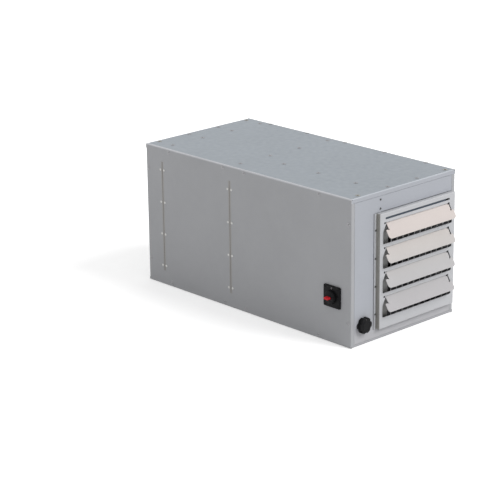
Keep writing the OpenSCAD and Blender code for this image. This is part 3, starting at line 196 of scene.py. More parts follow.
def powder_coat(name, colour, roughness=0.46, by_height=(), patches=()):
    """Powder coat on sheet: orange peel, slow cloudiness and a little dust.

    by_height can tint it, as (height, factors) pairs from the lowest up. Each of the patches is
    (ranges of X, Y or Z, factors): paler as a painted highlight along a bend, darker as painted shade.
    """
    s = Surface(name, roughness, specular=0.45)
    peel = s.noise(900, detail=2.0)
    wave = s.noise(26, detail=2.0, roughness=0.4)
    cloud = s.noise(5.5, detail=4.0, roughness=0.55)
    base = s.ramp(cloud, [(0.30, shade(colour, 0.965)), (0.52, colour), (0.72, shade(colour, 1.03))])
    if by_height:
        low, high = by_height[0][0], by_height[-1][0]
        level = s.scaled(s.place("Z"), 0.0, 1.0, low, high)
        tint = s.ramp(level, [((h - low) / (high - low), c) for h, c in by_height])
        base = s.mix(1.0, base, tint, "MULTIPLY")
    for ranges, factors in patches:
        base = s.mix(s.within(**ranges), base, s.mix(1.0, base, factors, "MULTIPLY"))
    speck = s.ramp(s.noise(420, detail=1.0), [(0.66, (0, 0, 0)), (0.74, (1, 1, 1))])
    s.colour(s.mix(speck, base, s.mix(1.0, base, (0.93, 0.93, 0.94), "MULTIPLY")))
    s.rough(s.scaled(s.noise(60, detail=5.0), roughness - 0.06, roughness + 0.08))
    s.bump((peel, 0.10, 0.00012), (wave, 0.05, 0.0006))
    return s.mat


def zinc(name, colour=(0.50, 0.51, 0.53), cut_x=None):
    """Galvanised sheet with its spangle; ends beyond cut_x on both sides show their dull cut."""
    s = Surface(name, 0.42, metallic=0.75)
    spangle = s.cells(75)
    grey = s.ramp(spangle, [(0.1, shade(colour, 0.82)), (0.5, colour), (0.9, shade(colour, 1.16))])
    streak = s.noise(120, vector=s.stretched((1, 1, 0.05)))
    grey = s.mix(s.scaled(streak, 0.0, 0.25), grey, shade(colour, 0.75))
    if cut_x:
        grey = s.mix(s.within(X=(-cut_x, cut_x)), (0.16, 0.15, 0.135), grey)
    s.colour(grey)
    s.rough(s.scaled(s.cells(75, output="Distance"), 0.32, 0.52, 0.0, 1.0))
    s.bump((s.noise(1400, detail=2.0), 0.08, 0.0001))
    return s.mat


def steel(name, colour=(0.55, 0.55, 0.56), roughness=0.28, along=(0.04, 1, 1), metallic=1.0):
    """Drawn or turned metal, with fine marks that run one way."""
    s = Surface(name, roughness, metallic=metallic)
    marks = s.noise(900, detail=2.0, vector=s.stretched(along))
    s.colour(s.ramp(marks, [(0.3, shade(colour, 0.88)), (0.7, shade(colour, 1.08))]))
    s.rough(s.scaled(s.noise(300, detail=3.0), roughness - 0.07, roughness + 0.12))
    s.bump((marks, 0.10, 0.00008))
    return s.mat


def plastic(name, colour, roughness=0.42, specular=0.5):
    """Moulded plastic with spark-eroded grain and handling marks."""
    s = Surface(name, roughness, specular=specular)
    rub = s.noise(70, detail=4.0)
    s.colour(s.ramp(rub, [(0.35, shade(colour, 0.90)), (0.68, shade(colour, 1.12))]))
    s.rough(s.scaled(rub, roughness - 0.06, roughness + 0.10))
    s.bump((s.noise(1500, detail=1.5), 0.14, 0.00012))
    return s.mat


def element_skin(name):
    """Steel that heat has darkened, brown to blue in bands along each run."""
    s = Surface(name, 0.45, metallic=0.8)
    tint = s.noise(14, detail=3.0)
    c = s.ramp(tint, [(0.28, (0.13, 0.12, 0.12)), (0.45, (0.19, 0.16, 0.14)),
                      (0.60, (0.16, 0.17, 0.21)), (0.78, (0.24, 0.23, 0.22))])
    s.colour(s.mix(s.scaled(s.noise(500), 0.0, 0.35), c, (0.08, 0.07, 0.07)))
    s.rough(s.scaled(s.noise(90, detail=4.0), 0.36, 0.62))
    s.bump((s.noise(1100, detail=2.0), 0.12, 0.0001))
    return s.mat


# Colours of the casing. They are one paint; the front's slightly bluer grey is painted light, and the
# roof's darker grey, set below, is painted shade.
SIDE_GREY, FRONT_GREY = linear(158, 159, 162), linear(160, 163, 170)
# Where a range goes on past the casing
FAR = 1.0
# How far the painted highlights along the roof's bends reach in from its left edge, its front and its
# top
BEND_SIDE, BEND_FRONT, BEND_TOP = 3.2 * MM, 2.8 * MM, 2.6 * MM
# A depth that takes in the roof's folded front face, which is lifted out of the roof's painted shade
# to the front panel's tone
ROOF_FACE = 0.4 * MM

M = {
    "coated_sheet": powder_coat("Powder coat", SIDE_GREY),
    # The roof: its darker grey is painted shade, its bends carry painted highlights, and its folded
    # front face has the front's tone
    "coated_roof": powder_coat("Powder coat, roof", linear(140, 147, 154), patches=(
        ({"X": (-FAR, LEFT + BEND_SIDE)}, (1.45, 1.42, 1.40)),
        ({"Y": (-FAR, FRONT + BEND_FRONT), "Z": (CASING_H - BEND_TOP, FAR)}, (1.62, 1.54, 1.50)),
        ({"Y": (-FAR, FRONT + ROOF_FACE), "Z": (0.0, CASING_H - BEND_TOP)}, (1.34, 1.255, 1.243)))),
    "coated_front": powder_coat("Powder coat, front", FRONT_GREY),
    # The blades' tint by height is painted shade: each blade lower down is darker and bluer than the
    # one above
    "coated_blade": powder_coat(
        "Powder coat, blades", linear(195, 186, 182), roughness=0.40,
        by_height=((0.108, (0.74, 0.80, 0.86)), (0.183, (0.78, 0.85, 0.90)),
                   (0.258, (0.90, 0.945, 0.96)), (0.330, (1.0, 1.0, 1.0)))),
    "zinc_sheet": zinc("Galvanised sheet"),
    "zinc_screw": steel("Zinc plated screws", (0.30, 0.30, 0.31), 0.38, (1, 1, 1)),
    "rivet_alloy": steel("Drawn rivets", (0.58, 0.58, 0.565), 0.38, (1, 1, 1), 0.6),
    "guard_wire": steel("Plated wire", (0.80, 0.81, 0.82), 0.36, (1, 1, 0.05), 0.35),
    "bright_steel": steel("Ground steel"),
    "bracket_paint": powder_coat("Bracket paint", (0.028, 0.028, 0.030), roughness=0.50),
    "motor_shell": powder_coat("Motor paint", (0.045, 0.046, 0.050), roughness=0.52),
    "impeller_alloy": steel("Impeller alloy", (0.42, 0.43, 0.44), 0.40, (1, 0.1, 1), 0.85),
    "element_sheath": element_skin("Element sheath"),
    "insert_steel": steel("Passivated steel", (0.40, 0.39, 0.35), 0.36, (1, 1, 0.1)),
    "nut_brass": steel("Brass", (0.60, 0.43, 0.18), 0.30, (0.1, 1, 1)),
    "strap_copper": steel("Copper strip", (0.56, 0.30, 0.19), 0.34, (1, 1, 0.05)),
    "black_plastic": plastic("Black plastic", (0.0075, 0.0075, 0.0085), 0.44, specular=0.09),
    "red_plastic": plastic("Red plastic", (0.50, 0.012, 0.020), 0.40, specular=0.2),
    "gear_plastic": plastic("Switchgear plastic", (0.055, 0.058, 0.062), 0.48),
    "terminal_plastic": plastic("Terminal plastic", (0.36, 0.37, 0.34), 0.50),
    "phenolic": plastic("Phenolic", (0.030, 0.020, 0.014), 0.36),
}
for sub in frame["record"]["subparts"]:
    mesh = nodes[sub["node"]].data
    mesh.materials.clear()
    mesh.materials.append(M[sub["material_slot"]])
mark_paint = plastic("Printed mark", (0.27, 0.25, 0.265), 0.5, specular=0.1)
# Zinc darkened as painted shade, for the front screws' heads
zinc_painted_shade = steel("Zinc plate, painted shade", (0.085, 0.088, 0.085), 0.5, (1, 1, 1), 0.3)

# Looks that belong to one node; the factors of the painted shade inside the outlet
PAINTED_SHADE = (0.62, 0.60, 0.54)
# The outlet box: its flange's width, where its left wall ends, its face's thickness, and how far
# inside its outline the front panel carries painted shade
FLANGE_W, WALL_END, FACE_T, INSIDE = 7.5 * MM, 13.5 * MM, 0.8 * MM, 8 * MM
# Seams of the left side: their distances behind the front, how far a band reaches before and
# behind each, and its distance from the casing's top and bottom
SEAMS = (506 * MM, 814 * MM)
SEAM_BEFORE, SEAM_AFTER, SEAM_MARGIN = 5.5 * MM, 6.5 * MM, 46 * MM
# How far the painted highlight along the left side's top bend reaches down from its top
SIDE_BEND = 3.6 * MM
# How far in from the sides the ends of the partitions' tabs show their cut
TAB_END = 0.8 * MM
box_lo, box_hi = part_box("louvre_box")
# Painted shade on the outlet's left wall, where it stands out from the panel; its flange is also a
# little darker
nodes["louvre_box"].data.materials[0] = powder_coat(
    "Powder coat, outlet", linear(179, 180, 183), patches=(
        ({"X": (box_lo.x + FLANGE_W, box_lo.x + WALL_END), "Y": (box_lo.y + FACE_T, 0.0)}, PAINTED_SHADE),
        ({"X": (-FAR, box_lo.x + FLANGE_W)}, (0.90, 0.91, 0.93))))
# Painted shade on the front panel where it shows through the outlet's windows; the panel is also paler
# and warmer towards the bottom
nodes["front_panel"].data.materials[0] = powder_coat(
    "Powder coat, front and inside the outlet", FRONT_GREY,
    by_height=((0.0, (1.16, 1.10, 1.04)), (0.11, (1.0, 1.0, 1.0))), patches=(
        ({"X": (box_lo.x + INSIDE, box_hi.x - INSIDE),
          "Z": (box_lo.z + INSIDE, box_hi.z - INSIDE)}, PAINTED_SHADE),))
# A painted highlight along the top bend, and a tinted band along each seam
side_patches = [({"Z": (CASING_H - SIDE_BEND, FAR)}, (1.55, 1.55, 1.56))]
for seam in SEAMS:
    side_patches.append((
        {"Y": (FRONT + seam - SEAM_BEFORE, FRONT + seam + SEAM_AFTER),
         "Z": (SEAM_MARGIN, CASING_H - SEAM_MARGIN)}, (0.92, 0.89, 0.84)))
nodes["left_side_panel"].data.materials[0] = powder_coat(
    "Powder coat, left side", SIDE_GREY, patches=side_patches)
for name in ("fan_plate", "front_bulkhead"):
    nodes[name].data.materials[0] = zinc("Galvanised partition", cut_x=RIGHT - TAB_END)


# Mesh helpers
def finish_piece(name, bm, body, slot, replaced=(), smooth=35, look=None):
    """Turns a bmesh into a piece that rides on a body; slot names one of the record's slots.

    Its look is the slot's own, or another one.
    """
    bmesh.ops.remove_doubles(bm, verts=bm.verts, dist=1e-7)
    bmesh.ops.recalc_face_normals(bm, faces=bm.faces)
    limit = math.radians(smooth)
    for f in bm.faces:
        f.smooth = True
    for e in bm.edges:
        if len(e.link_faces) == 2 and e.calc_face_angle(0.0) > limit:
            e.smooth = False
    me = bpy.data.meshes.new(name)
    bm.to_mesh(me)
    bm.free()
    me.materials.append(look or M[slot])
    ob = bpy.data.objects.new(name, me)
    scene.collection.objects.link(ob)
    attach(ob, body)
    if replaced:
        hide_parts(*replaced)
    return ob


def basis(at, out, turn=0.0):
    """A frame at a point whose z axis points out, turned about it."""
    q = Vector(out).to_track_quat("Z", "Y")
    return Matrix.Translation(at) @ q.to_matrix().to_4x4() @ Matrix.Rotation(turn, 4, "Z")


def ring_of(bm, m, points):
    """Vertices at points of the frame m."""
    return [bm.verts.new(m @ Vector(p)) for p in points]


def bridge(bm, a, b):
    """A band of faces between two rings of vertices."""
    n = len(a)
    for i in range(n):
        bm.faces.new((a[i], a[(i + 1) % n], b[(i + 1) % n], b[i]))


def loft(bm, m, rings, cap_start=True, cap_end=True):
    """Joins rings of equal count; each ring is a list of points."""
    made = [ring_of(bm, m, r) for r in rings]
    for a, b in zip(made, made[1:]):
        bridge(bm, a, b)
    if cap_start:
        bm.faces.new(list(reversed(made[0])))
    if cap_end:
        bm.faces.new(made[-1])
    return made


def circle(r, z, count, lobes=None):
    """A circle as a ring of points; lobes can give a factor of its radius at each angle."""
    pts = []
    for i in range(count):
        a = 2 * math.pi * i / count
        k = lobes(a) if lobes else 1.0
        pts.append((r * k * math.cos(a), r * k * math.sin(a), z))
    return pts


def rounded(w, h, r, z, per_corner=6):
    """A rectangle with round corners, as a ring."""
    pts = []
    for cx, cy, start in ((1, 1, 0), (-1, 1, 90), (-1, -1, 180), (1, -1, 270)):
        for i in range(per_corner + 1):
            a = math.radians(start + 90 * i / per_corner)
            pts.append((cx * (w / 2 - r) + r * math.cos(a), cy * (h / 2 - r) + r * math.sin(a), z))
    return pts


def islands(node):
    """Boxes of a node's separate solids, each as (lowest corner, highest corner)."""
    me = nodes[node].data
    key_of, parent = [], {}

    def root(k):
        while parent[k] != k:
            parent[k] = parent[parent[k]]
            k = parent[k]
        return k

    for v in me.vertices:
        k = (round(v.co.x, 5), round(v.co.y, 5), round(v.co.z, 5))
        key_of.append(k)
        parent.setdefault(k, k)
    for p in me.polygons:
        ks = [root(key_of[i]) for i in p.vertices]
        for k in ks[1:]:
            parent[root(k)] = root(ks[0])
    groups = {}
    for k in parent:
        groups.setdefault(root(k), []).append(k)
    made = []
    for pts in groups.values():
        made.append((Vector([min(p[i] for p in pts) for i in range(3)]),
                     Vector([max(p[i] for p in pts) for i in range(3)])))
    return sorted(made, key=lambda b: tuple(b[0]))


# Screws and rivets
HEAD_R, HEAD_H, HEAD_SIDES = 3.2 * MM, 1.6 * MM, 24
RIVET_R, RIVET_H, RIVET_SIDES = 3.9 * MM, 1.9 * MM, 28
WASHER_SIDES = 40
# The cross recess: half its arms' width and their reach as shares of the head's radius, how much
# of that is left at its floor, and the floor's height as a share of the head's
CROSS_HALF_SHARE, CROSS_REACH_SHARE, CROSS_TAPER_SHARE, CROSS_FLOOR_SHARE = 0.14, 0.55, 0.80, 0.30
# Each head is turned on from the one before it, by an angle in radians
TURN_START, TURN_STEP = 0.4, 1.1


def pan_head(bm, m):
    """A pan head with a cross recess, its seat at the origin."""
    # (share of the radius, share of the height)
    skirt = [(0.97, 0.0), (1.0, 0.12), (1.0, 0.42), (0.955, 0.68), (0.84, 0.87), (0.70, 0.97)]
    rings = [circle(HEAD_R * r, HEAD_H * h, HEAD_SIDES) for r, h in skirt]
    made = loft(bm, m, rings, cap_end=False)
    rim = made[-1]
    w, l = CROSS_HALF_SHARE * HEAD_R, CROSS_REACH_SHARE * HEAD_R
    outline = [(l, -w), (l, w), (w, w), (w, l), (-w, l), (-w, w), (-l, w), (-l, -w), (-w, -w),
               (-w, -l), (w, -l), (w, -w)]
    top = ring_of(bm, m, [(x, y, HEAD_H) for x, y in outline])
    low = ring_of(bm, m, [(x * CROSS_TAPER_SHARE, y * CROSS_TAPER_SHARE, HEAD_H * CROSS_FLOOR_SHARE)
                          for x, y in outline])
    edges = []
    for ring in (rim, top):
        for i in range(len(ring)):
            a, b = ring[i], ring[(i + 1) % len(ring)]
            edges.append(bm.edges.get((a, b)) or bm.edges.new((a, b)))
    bmesh.ops.triangle_fill(bm, edges=edges, use_beauty=True)
    bridge(bm, top, low)
    bm.faces.new(low)


def rivet_head(bm, m):
    """A blind rivet: a low dome with the broken-off mandrel in its middle."""
    # (share of the radius, share of the height)
    profile = [(0.96, 0.0), (1.0, 0.10), (0.995, 0.24), (0.93, 0.46), (0.80, 0.68), (0.60, 0.86),
               (0.40, 0.96), (0.31, 0.985), (0.27, 0.93), (0.26, 0.72), (0.20, 0.68)]
    loft(bm, m, [circle(RIVET_R * a, RIVET_H * b, RIVET_SIDES) for a, b in profile])


def washer_head(bm, m):
    """A pan head on its plain washer."""
    # (radius, height) in millimetres
    washer = [(6.6, 0.0), (6.8, 0.1), (6.8, 0.4), (6.5, 0.55), (4.2, 0.6)]
    loft(bm, m, [circle(r * MM, z * MM, WASHER_SIDES) for r, z in washer])
    pan_head(bm, m)


def heads(name, node, slot, build, out_of, look=None):
    """Gives each solid of a fastener group its detailed head, at the solid's own place."""
    bm = bmesh.new()
    for i, (lo, hi) in enumerate(islands(node)):
        out = Vector(out_of(lo, hi))
        mid = (lo + hi) / 2
        depth = RIVET_H if build is rivet_head else HEAD_H
        axis = max(range(3), key=lambda k: abs(out[k]))
        tip = hi[axis] if out[axis] > 0 else lo[axis]
        mid[axis] = tip - depth * out[axis]
        build(bm, basis(mid, out, turn=TURN_STEP * i + TURN_START))
    return finish_piece(name, bm, "casing", slot, (node,), look=look)


def side_out(lo, hi):
    return (-1, 0, 0) if lo.x < 0 else (1, 0, 0)


heads("side_screw_heads", "side_screws", "zinc_screw", washer_head, side_out)
heads("seam_rivet_heads", "seam_rivets", "rivet_alloy", rivet_head, side_out)
heads("roof_screw_heads", "roof_screws", "zinc_screw", washer_head, lambda lo, hi: (0, 0, 1))
# The front screws' heads are darkened as painted shade
heads("front_screw_heads", "front_screws", "zinc_screw", pan_head, lambda lo, hi: (0, -1, 0),
      look=zinc_painted_shade)
heads("rear_screw_heads", "rear_screws", "zinc_screw", pan_head, lambda lo, hi: (0, 1, 0))


# Knob
def knob():
    """The scalloped rim with its recessed cap, and the pointer on the rim's shoulder."""
    lo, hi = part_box("control_knob")
    m = basis(Vector(((lo.x + hi.x) / 2, hi.y, (lo.z + hi.z) / 2)), (0, -1, 0))
    # radius of the rim, radius of the scallops and their distance from the middle
    r_out, scallop, away = 24.8 * MM, 9 * MM, 31.0 * MM
    bore, bore_depth = 10 * MM, 5.5 * MM
    depth = hi.y - lo.y
    shoulder = depth - 1 * MM
    sides = 144

    def lobes(a):
        d = a % (math.pi / 3) - math.pi / 6
        across = away * math.sin(d)
        if abs(across) >= scallop:
            return 1.0
        r = away * math.cos(d) - math.sqrt(scallop ** 2 - across ** 2)
        k = 3.2 / MM  # how sharply a scallop meets the rim
        return -math.log(math.exp(-k * (r - r_out)) + 1.0) / k / r_out + 1.0

    # (share of the rim's radius, share of the shoulder's height)
    steps = [(0.975, 0.0), (0.995, 0.03), (1.0, 0.08), (1.0, 0.72), (0.994, 0.80), (0.978, 0.87),
             (0.950, 0.94), (0.905, 0.985), (0.850, 1.0)]
    rings = [circle(r_out * s, shoulder * z, sides, lobes) for s, z in steps]
    cap = [(15.3, shoulder), (15.0, shoulder + 0.3 * MM), (15.0, depth - 0.3 * MM), (14.7, depth),
           (12.6, depth), (12.3, depth - 0.35 * MM), (11.9, depth - 0.35 * MM)]
    rings += [circle(r * MM, z, sides) for r, z in cap]
    hollow = [circle(bore, bore_depth, sides), circle(bore, 0, sides)]
    bm = bmesh.new()
    loft(bm, m, hollow + rings)
    finish_piece("knob_moulding", bm, "knob", "black_plastic", ("control_knob",), smooth=40)

    # the pointer, a thin bar sunk a little in the shoulder
    width, length, corner_r, at = 1.0 * MM, 2.4 * MM, 0.3 * MM, 18.6 * MM
    sunk, rise = 0.2 * MM, 0.06 * MM
    bm = bmesh.new()
    loft(bm, m @ Matrix.Translation((0, at, shoulder)),
         [rounded(width, length, corner_r, z) for z in (-sunk, rise)])
    finish_piece("knob_pointer", bm, "knob", "terminal_plastic", look=mark_paint)


knob()


# Isolator; its profiles are in millimetres
def isolator_frame(node):
    """A frame on the isolator's axis at the inner face of a node, its z axis pointing out."""
    lo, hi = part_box("isolator_plate")
    at = Vector((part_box(node)[1].x, (lo.y + hi.y) / 2, (lo.z + hi.z) / 2))
    return basis(at, (-1, 0, 0))


def bar_frame(node):
    """The same frame with its x axis along Y, as the bar and the grip lie at rest."""
    m = isolator_frame(node)
    x_axis = m.to_3x3() @ Vector((1, 0, 0))
    return m if abs(x_axis.y) >= 0.5 else m @ Matrix.Rotation(math.pi / 2, 4, "Z")


def isolator_plate():
    """The square plate with its corner screws and the raised ring round the hub."""
    lo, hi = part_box("isolator_plate")
    m = isolator_frame("isolator_plate")
    side, corner_r = hi.y - lo.y, 4.8
    screw_at, screw_seat, screw_sides = 26.5 * MM, 5.95 * MM, 24
    # (inset, height), then (radius, height) twice
    steps = [(0.3, 0.0), (0.0, 0.5), (0.0, 4.4), (0.35, 5.2), (1.0, 5.75), (2.0, 6.0)]
    ring = [(22.2, 5.9), (22.2, 6.5), (22.0, 6.8), (21.2, 6.8), (20.9, 6.5), (20.9, 5.9)]
    screw = [(2.9, 0.0), (2.8, 0.45), (2.3, 0.6), (2.2, 0.15)]
    bm = bmesh.new()
    loft(bm, m, [rounded(side - 2 * i * MM, side - 2 * i * MM, (corner_r - i) * MM, z * MM, 8)
                 for i, z in steps])
    loft(bm, m, [circle(r * MM, z * MM, 96) for r, z in ring], cap_start=False, cap_end=False)
    for sx in (-1, 1):
        for sy in (-1, 1):
            corner = m @ Matrix.Translation((sx * screw_at, sy * screw_at, screw_seat))
            loft(bm, corner, [circle(r * MM, z * MM, screw_sides) for r, z in screw])
    finish_piece("isolator_plate_moulding", bm, "casing", "black_plastic", ("isolator_plate",))


def isolator_mark():
    """A pale oval above the hub."""
    at, stretch = 26.2 * MM, 1.4
    # (radius, height)
    profile = [(2.1, 5.9), (2.1, 6.04), (1.1, 6.04), (1.1, 5.9)]
    bm = bmesh.new()
    loft(bm, isolator_frame("isolator_plate") @ Matrix.Translation((0, at, 0)),
         [[(x, y * stretch, h) for x, y, h in circle(r * MM, z * MM, 32)] for r, z in profile],
         cap_start=False, cap_end=False)
    finish_piece("isolator_mark", bm, "casing", "terminal_plastic", look=mark_paint)


def isolator_handle():
    """The fluted hub and the bar across it."""
    count, depth_share = 36, 0.012
    length, width, corner_r = 38, 12, 3.5

    def flutes(a):
        return 1.0 - depth_share * (0.5 + 0.5 * math.cos(count * a)) ** 3

    # (radius, height, fluted or not), then (inset, height)
    hub_steps = [(18.8, 0.0, 0), (19.5, 0.6, 1), (19.5, 6.8, 1), (19.1, 8.2, 1), (18.2, 9.3, 0),
                 (17.0, 10.0, 0)]
    bar_steps = [(0.0, 9.0), (0.0, 11.0), (0.4, 11.6), (1.2, 12.0)]
    bm = bmesh.new()
    loft(bm, isolator_frame("isolator_handle"),
         [circle(r * MM, z * MM, 8 * count, flutes if f else None) for r, z, f in hub_steps])
    loft(bm, bar_frame("isolator_handle"),
         [rounded((length - 2 * i) * MM, (width - 2 * i) * MM, (corner_r - i / 2) * MM, z * MM)
          for i, z in bar_steps])
    finish_piece("isolator_handle_moulding", bm, "isolator", "black_plastic", ("isolator_handle",))


def isolator_grip():
    """The waisted red grip on the bar."""
    lo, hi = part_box("isolator_grip")
    d = (hi.x - lo.x) / MM
    length, width, corner_r = 18, 7.2, 2.6
    # (inset, height)
    steps = [(0.5, 0.0), (0.0, 0.5), (0.15, d * 0.35), (0.55, d * 0.55), (0.35, d * 0.75),
             (0.1, d * 0.88), (0.5, d * 0.955), (1.3, d)]
    bm = bmesh.new()
    loft(bm, bar_frame("isolator_grip"),
         [rounded((length - 2 * i) * MM, (width - 2 * i) * MM, (corner_r - i / 2) * MM, z * MM, 7)
          for i, z in steps])
    finish_piece("isolator_grip_moulding", bm, "isolator", "red_plastic", ("isolator_grip",))


isolator_plate()
isolator_mark()
isolator_handle()
isolator_grip()


# Lip folded behind the slit, which turns the air upwards; its dark bluish coat is painted shade, for
# the shade seen through the slit
def slit_lip():
    slit_down, slit_start, slit_end = 16.5 * MM, 21 * MM, 304 * MM
    slit_z = box_hi.z - slit_down
    ends = (box_lo.x + slit_start, box_lo.x + slit_end)
    # (behind the outlet's face, above the slit's middle line) in millimetres
    profile = [(1.25, -5.5), (8.0, -5.5), (8.0, 7.0), (7.2, 7.0), (7.2, -4.7), (1.25, -4.7)]
    bm = bmesh.new()
    loft(bm, Matrix(), [[(x, box_lo.y + a * MM, slit_z + b * MM) for a, b in profile] for x in ends])
    finish_piece("slit_lip", bm, "casing", "coated_front",
                 look=powder_coat("Powder coat, shaded lip", (0.15, 0.18, 0.225)))


slit_lip()


# Black bushes that keep the rods in the middle, and the stop pads at the windows' upper corners
def pivot_bushes():
    # radius of a blade's knuckle, and how far behind the outlet's face its rod is
    knuckle_r, rod_depth = 3.5 * MM, 5 * MM
    # distances from the outlet's middle, then the pad's height above the rod and its sunk seat
    bush_at, pad_at = 134.75 * MM, 138 * MM
    pad_rise, pad_sunk = 3.2 * MM, 0.05 * MM
    # (radius, height) in millimetres
    bush = [(2.05, 0), (3.1, 0), (3.3, 0.2), (3.3, 3.0), (3.1, 3.25), (2.05, 3.25)]
    pad = [(3.0, 0), (3.0, 0.4), (2.6, 0.7)]
    sides = 32
    mid = (box_lo.x + box_hi.x) / 2
    bm = bmesh.new()
    for blade in range(1, 5):
        rod_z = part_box(f"louvre_blade_{blade}")[1].z - knuckle_r
        for side in (-1, 1):
            m = basis(Vector((mid + side * bush_at, box_lo.y + rod_depth, rod_z)), (side, 0, 0))
            loft(bm, m, [circle(r * MM, z * MM, sides) for r, z in bush],
                 cap_start=False, cap_end=False)
            m = basis(Vector((mid + side * pad_at, box_lo.y + pad_sunk, rod_z + pad_rise)), (0, -1, 0))
            loft(bm, m, [circle(r * MM, z * MM, sides) for r, z in pad])
    finish_piece("pivot_bushes", bm, "casing", "black_plastic")


pivot_bushes()


# Impeller: radii and the roots' depth in the hub in millimetres, sweep in degrees, camber as a
# share of the chord, and the blade's sections as (share of its length, chord, stagger, thickness)
HUB_R, TIP_R, ROOT_IN, SWEEP, CAMBER = 50.0, 172.0, 1.0, 9.0, 0.07
BLADES = 7
# How far behind the hub's front the blades' middle lies, and how many strips a blade has along
# its chord and along its length
HUB_MID = 24 * MM
CHORD_STRIPS, SPAN_STRIPS = 18, 16
SECTIONS = [(0.0, 62, 38, 3.2), (0.2, 66, 34, 3.0), (0.4, 72, 30.5, 2.8), (0.6, 78, 27.5, 2.6),
            (0.8, 83, 24.5, 2.4), (1.0, 84, 22, 2.2)]


def impeller():
    """Blades with an aerofoil section, twisted and swept from the hub to the tip."""
    def section(t):
        """Chord, stagger and thickness at a share of the blade's length."""
        for a, b in zip(SECTIONS, SECTIONS[1:]):
            if t <= b[0]:
                k = (t - a[0]) / (b[0] - a[0])
                return [a[i] + k * (b[i] - a[i]) for i in range(1, 4)]
        return SECTIONS[-1][1:]

    def foil(t):
        """The blade's section at a share of its length, wrapped round the axis."""
        chord, stagger, thick = section(t)
        a = math.radians(stagger)
        r = HUB_R - ROOT_IN + t * (TIP_R - HUB_R + ROOT_IN)
        shares = [(1 - math.cos(math.pi * i / CHORD_STRIPS)) / 2 for i in range(CHORD_STRIPS + 1)]
        pts = []
        for share, side in [(s, 1) for s in shares] + [(s, -1) for s in reversed(shares[1:-1])]:
            half = thick * math.sqrt(max(0.0, 4 * share * (1 - share))) / 2 * side
            u = (share - 0.5) * chord
            w = 4 * CAMBER * chord * share * (1 - share) + half
            around = u * math.cos(a) - w * math.sin(a)
            along = u * math.sin(a) + w * math.cos(a)
            phi = around / r + math.radians(SWEEP * t)
            pts.append((r * math.sin(phi) * MM, along * MM, r * math.cos(phi) * MM))
        return pts

    lo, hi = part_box("fan_hub")
    mid = Vector((0, lo.y + HUB_MID, (lo.z + hi.z) / 2))
    bm = bmesh.new()
    for i in range(BLADES):
        m = Matrix.Translation(mid) @ Matrix.Rotation(2 * math.pi * i / BLADES, 4, "Y")
        loft(bm, m, [foil(k / SPAN_STRIPS) for k in range(SPAN_STRIPS + 1)])
    finish_piece("impeller_blades", bm, "fan", "impeller_alloy", ("fan_blades",), smooth=50)


impeller()


# Edges of the sheet parts: how far they are broken, and from what angle in degrees
EDGE_BREAK, SHARP = 0.45 * MM, 40


def soften(node):
    """Breaks the sharp edges of a sheet part, as its coat does."""
    b = nodes[node].modifiers.new("edge", "BEVEL")
    b.width = EDGE_BREAK
    b.segments = 2
    b.limit_method = "ANGLE"
    b.angle_limit = math.radians(SHARP)
    b.harden_normals = True


for blade in range(1, 5):
    soften(f"louvre_blade_{blade}")


# Light, floor and camera
SOFT_LEVEL, WHITE_LEVEL = 0.62, 1.0
# The floor's own shade, and what makes it look as pale as the sky
FLOOR_SHADE, FLOOR_GLOW = 0.86, 0.42
FLOOR_HALF, FLOOR_DROP = 40.0, 0.5 * MM


def seen_straight(tree):
    """One where a ray comes straight from the camera, or by a mirror or glass, else zero."""
    path = tree.nodes.new("ShaderNodeLightPath")
    value = path.outputs["Is Camera Ray"]
    for name in ("Is Glossy Ray", "Is Transmission Ray"):
        m = tree.nodes.new("ShaderNodeMath")
        m.operation = "MAXIMUM"
        tree.links.new(value, m.inputs[0])
        tree.links.new(path.outputs[name], m.inputs[1])
        value = m.outputs[0]
    return value


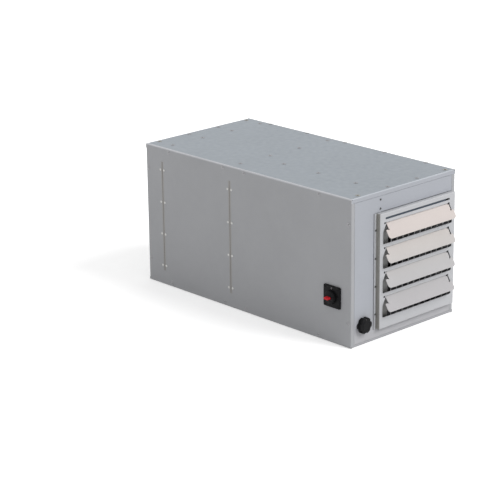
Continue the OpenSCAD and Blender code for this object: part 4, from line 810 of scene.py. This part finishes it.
def world_and_floor():
    """A soft even sky that looks white to the camera, and a pale floor that takes the shadow."""
    world = bpy.data.worlds.new("Studio")
    scene.world = world
    world.use_nodes = True
    wn, wl = world.node_tree.nodes, world.node_tree.links
    wn.clear()
    out = wn.new("ShaderNodeOutputWorld")
    soft = wn.new("ShaderNodeBackground")
    soft.inputs["Color"].default_value = (1, 1, 1, 1)
    soft.inputs["Strength"].default_value = SOFT_LEVEL
    white = wn.new("ShaderNodeBackground")
    white.inputs["Color"].default_value = (1, 1, 1, 1)
    white.inputs["Strength"].default_value = WHITE_LEVEL
    mix = wn.new("ShaderNodeMixShader")
    wl.new(seen_straight(world.node_tree), mix.inputs["Fac"])
    wl.new(soft.outputs[0], mix.inputs[1])
    wl.new(white.outputs[0], mix.inputs[2])
    wl.new(mix.outputs[0], out.inputs["Surface"])

    me = bpy.data.meshes.new("floor")
    r = FLOOR_HALF
    me.from_pydata([(-r, -r, 0), (r, -r, 0), (r, r, 0), (-r, r, 0)], [], [(0, 1, 2, 3)])
    floor = bpy.data.objects.new("floor", me)
    scene.collection.objects.link(floor)
    floor.location.z = -FLOOR_DROP
    mat = bpy.data.materials.new("Pale floor")
    mat.use_nodes = True
    n, l = mat.node_tree.nodes, mat.node_tree.links
    n.clear()
    out = n.new("ShaderNodeOutputMaterial")
    diffuse = n.new("ShaderNodeBsdfDiffuse")
    diffuse.inputs["Color"].default_value = (FLOOR_SHADE, FLOOR_SHADE, FLOOR_SHADE, 1)
    glow = n.new("ShaderNodeEmission")
    glow.inputs["Color"].default_value = (1, 1, 1, 1)
    scale = n.new("ShaderNodeMath")
    scale.operation = "MULTIPLY"
    scale.inputs[1].default_value = FLOOR_GLOW
    l.new(seen_straight(mat.node_tree), scale.inputs[0])
    l.new(scale.outputs[0], glow.inputs["Strength"])
    add = n.new("ShaderNodeAddShader")
    l.new(diffuse.outputs[0], add.inputs[0])
    l.new(glow.outputs[0], add.inputs[1])
    l.new(add.outputs[0], out.inputs["Surface"])
    me.materials.append(mat)


def lamp(name, towards, strength, angle):
    """A soft sun that stands in the direction towards, its angle in degrees across."""
    data = bpy.data.lights.new(name, "SUN")
    data.energy = strength
    data.angle = math.radians(angle)
    ob = bpy.data.objects.new(name, data)
    scene.collection.objects.link(ob)
    ob.rotation_euler = Vector(towards).to_track_quat("Z", "Y").to_euler()


# The photograph's camera: turns in degrees, focal length and picture in pixels, and its place
# from the casing's lower left front corner
YAW, PITCH, ROLL = -43.16, -18.11, 0.73
FOCAL_PX, PICTURE_PX, SENSOR = 1911, 500, 36.0
CAMERA_AT = (-3.7341, -3.5627, 1.9904)


def camera():
    yaw, pitch, roll = (math.radians(v) for v in (YAW, PITCH, ROLL))
    turn = (Matrix.Rotation(yaw, 3, "Z") @ Matrix.Rotation(pitch, 3, "X")
            @ Matrix.Rotation(roll, 3, "Y"))
    right, forward, up = turn.col[0], turn.col[1], turn.col[2]
    data = bpy.data.cameras.new("camera")
    data.sensor_width = SENSOR
    data.lens = SENSOR * FOCAL_PX / PICTURE_PX
    data.clip_end = 100
    ob = bpy.data.objects.new("camera", data)
    scene.collection.objects.link(ob)
    place = Vector((CAMERA_AT[0] + LEFT, CAMERA_AT[1] + FRONT, CAMERA_AT[2]))
    ob.matrix_world = Matrix((
        (right.x, up.x, -forward.x, place.x),
        (right.y, up.y, -forward.y, place.y),
        (right.z, up.z, -forward.z, place.z),
        (0, 0, 0, 1)))
    scene.camera = ob


world_and_floor()
lamp("key", (0.32, -0.66, 0.68), 1.9, 28)
lamp("back", (-0.31, 0.80, 0.50), 0.16, 20)
camera()
scene.view_settings.view_transform = "Standard"
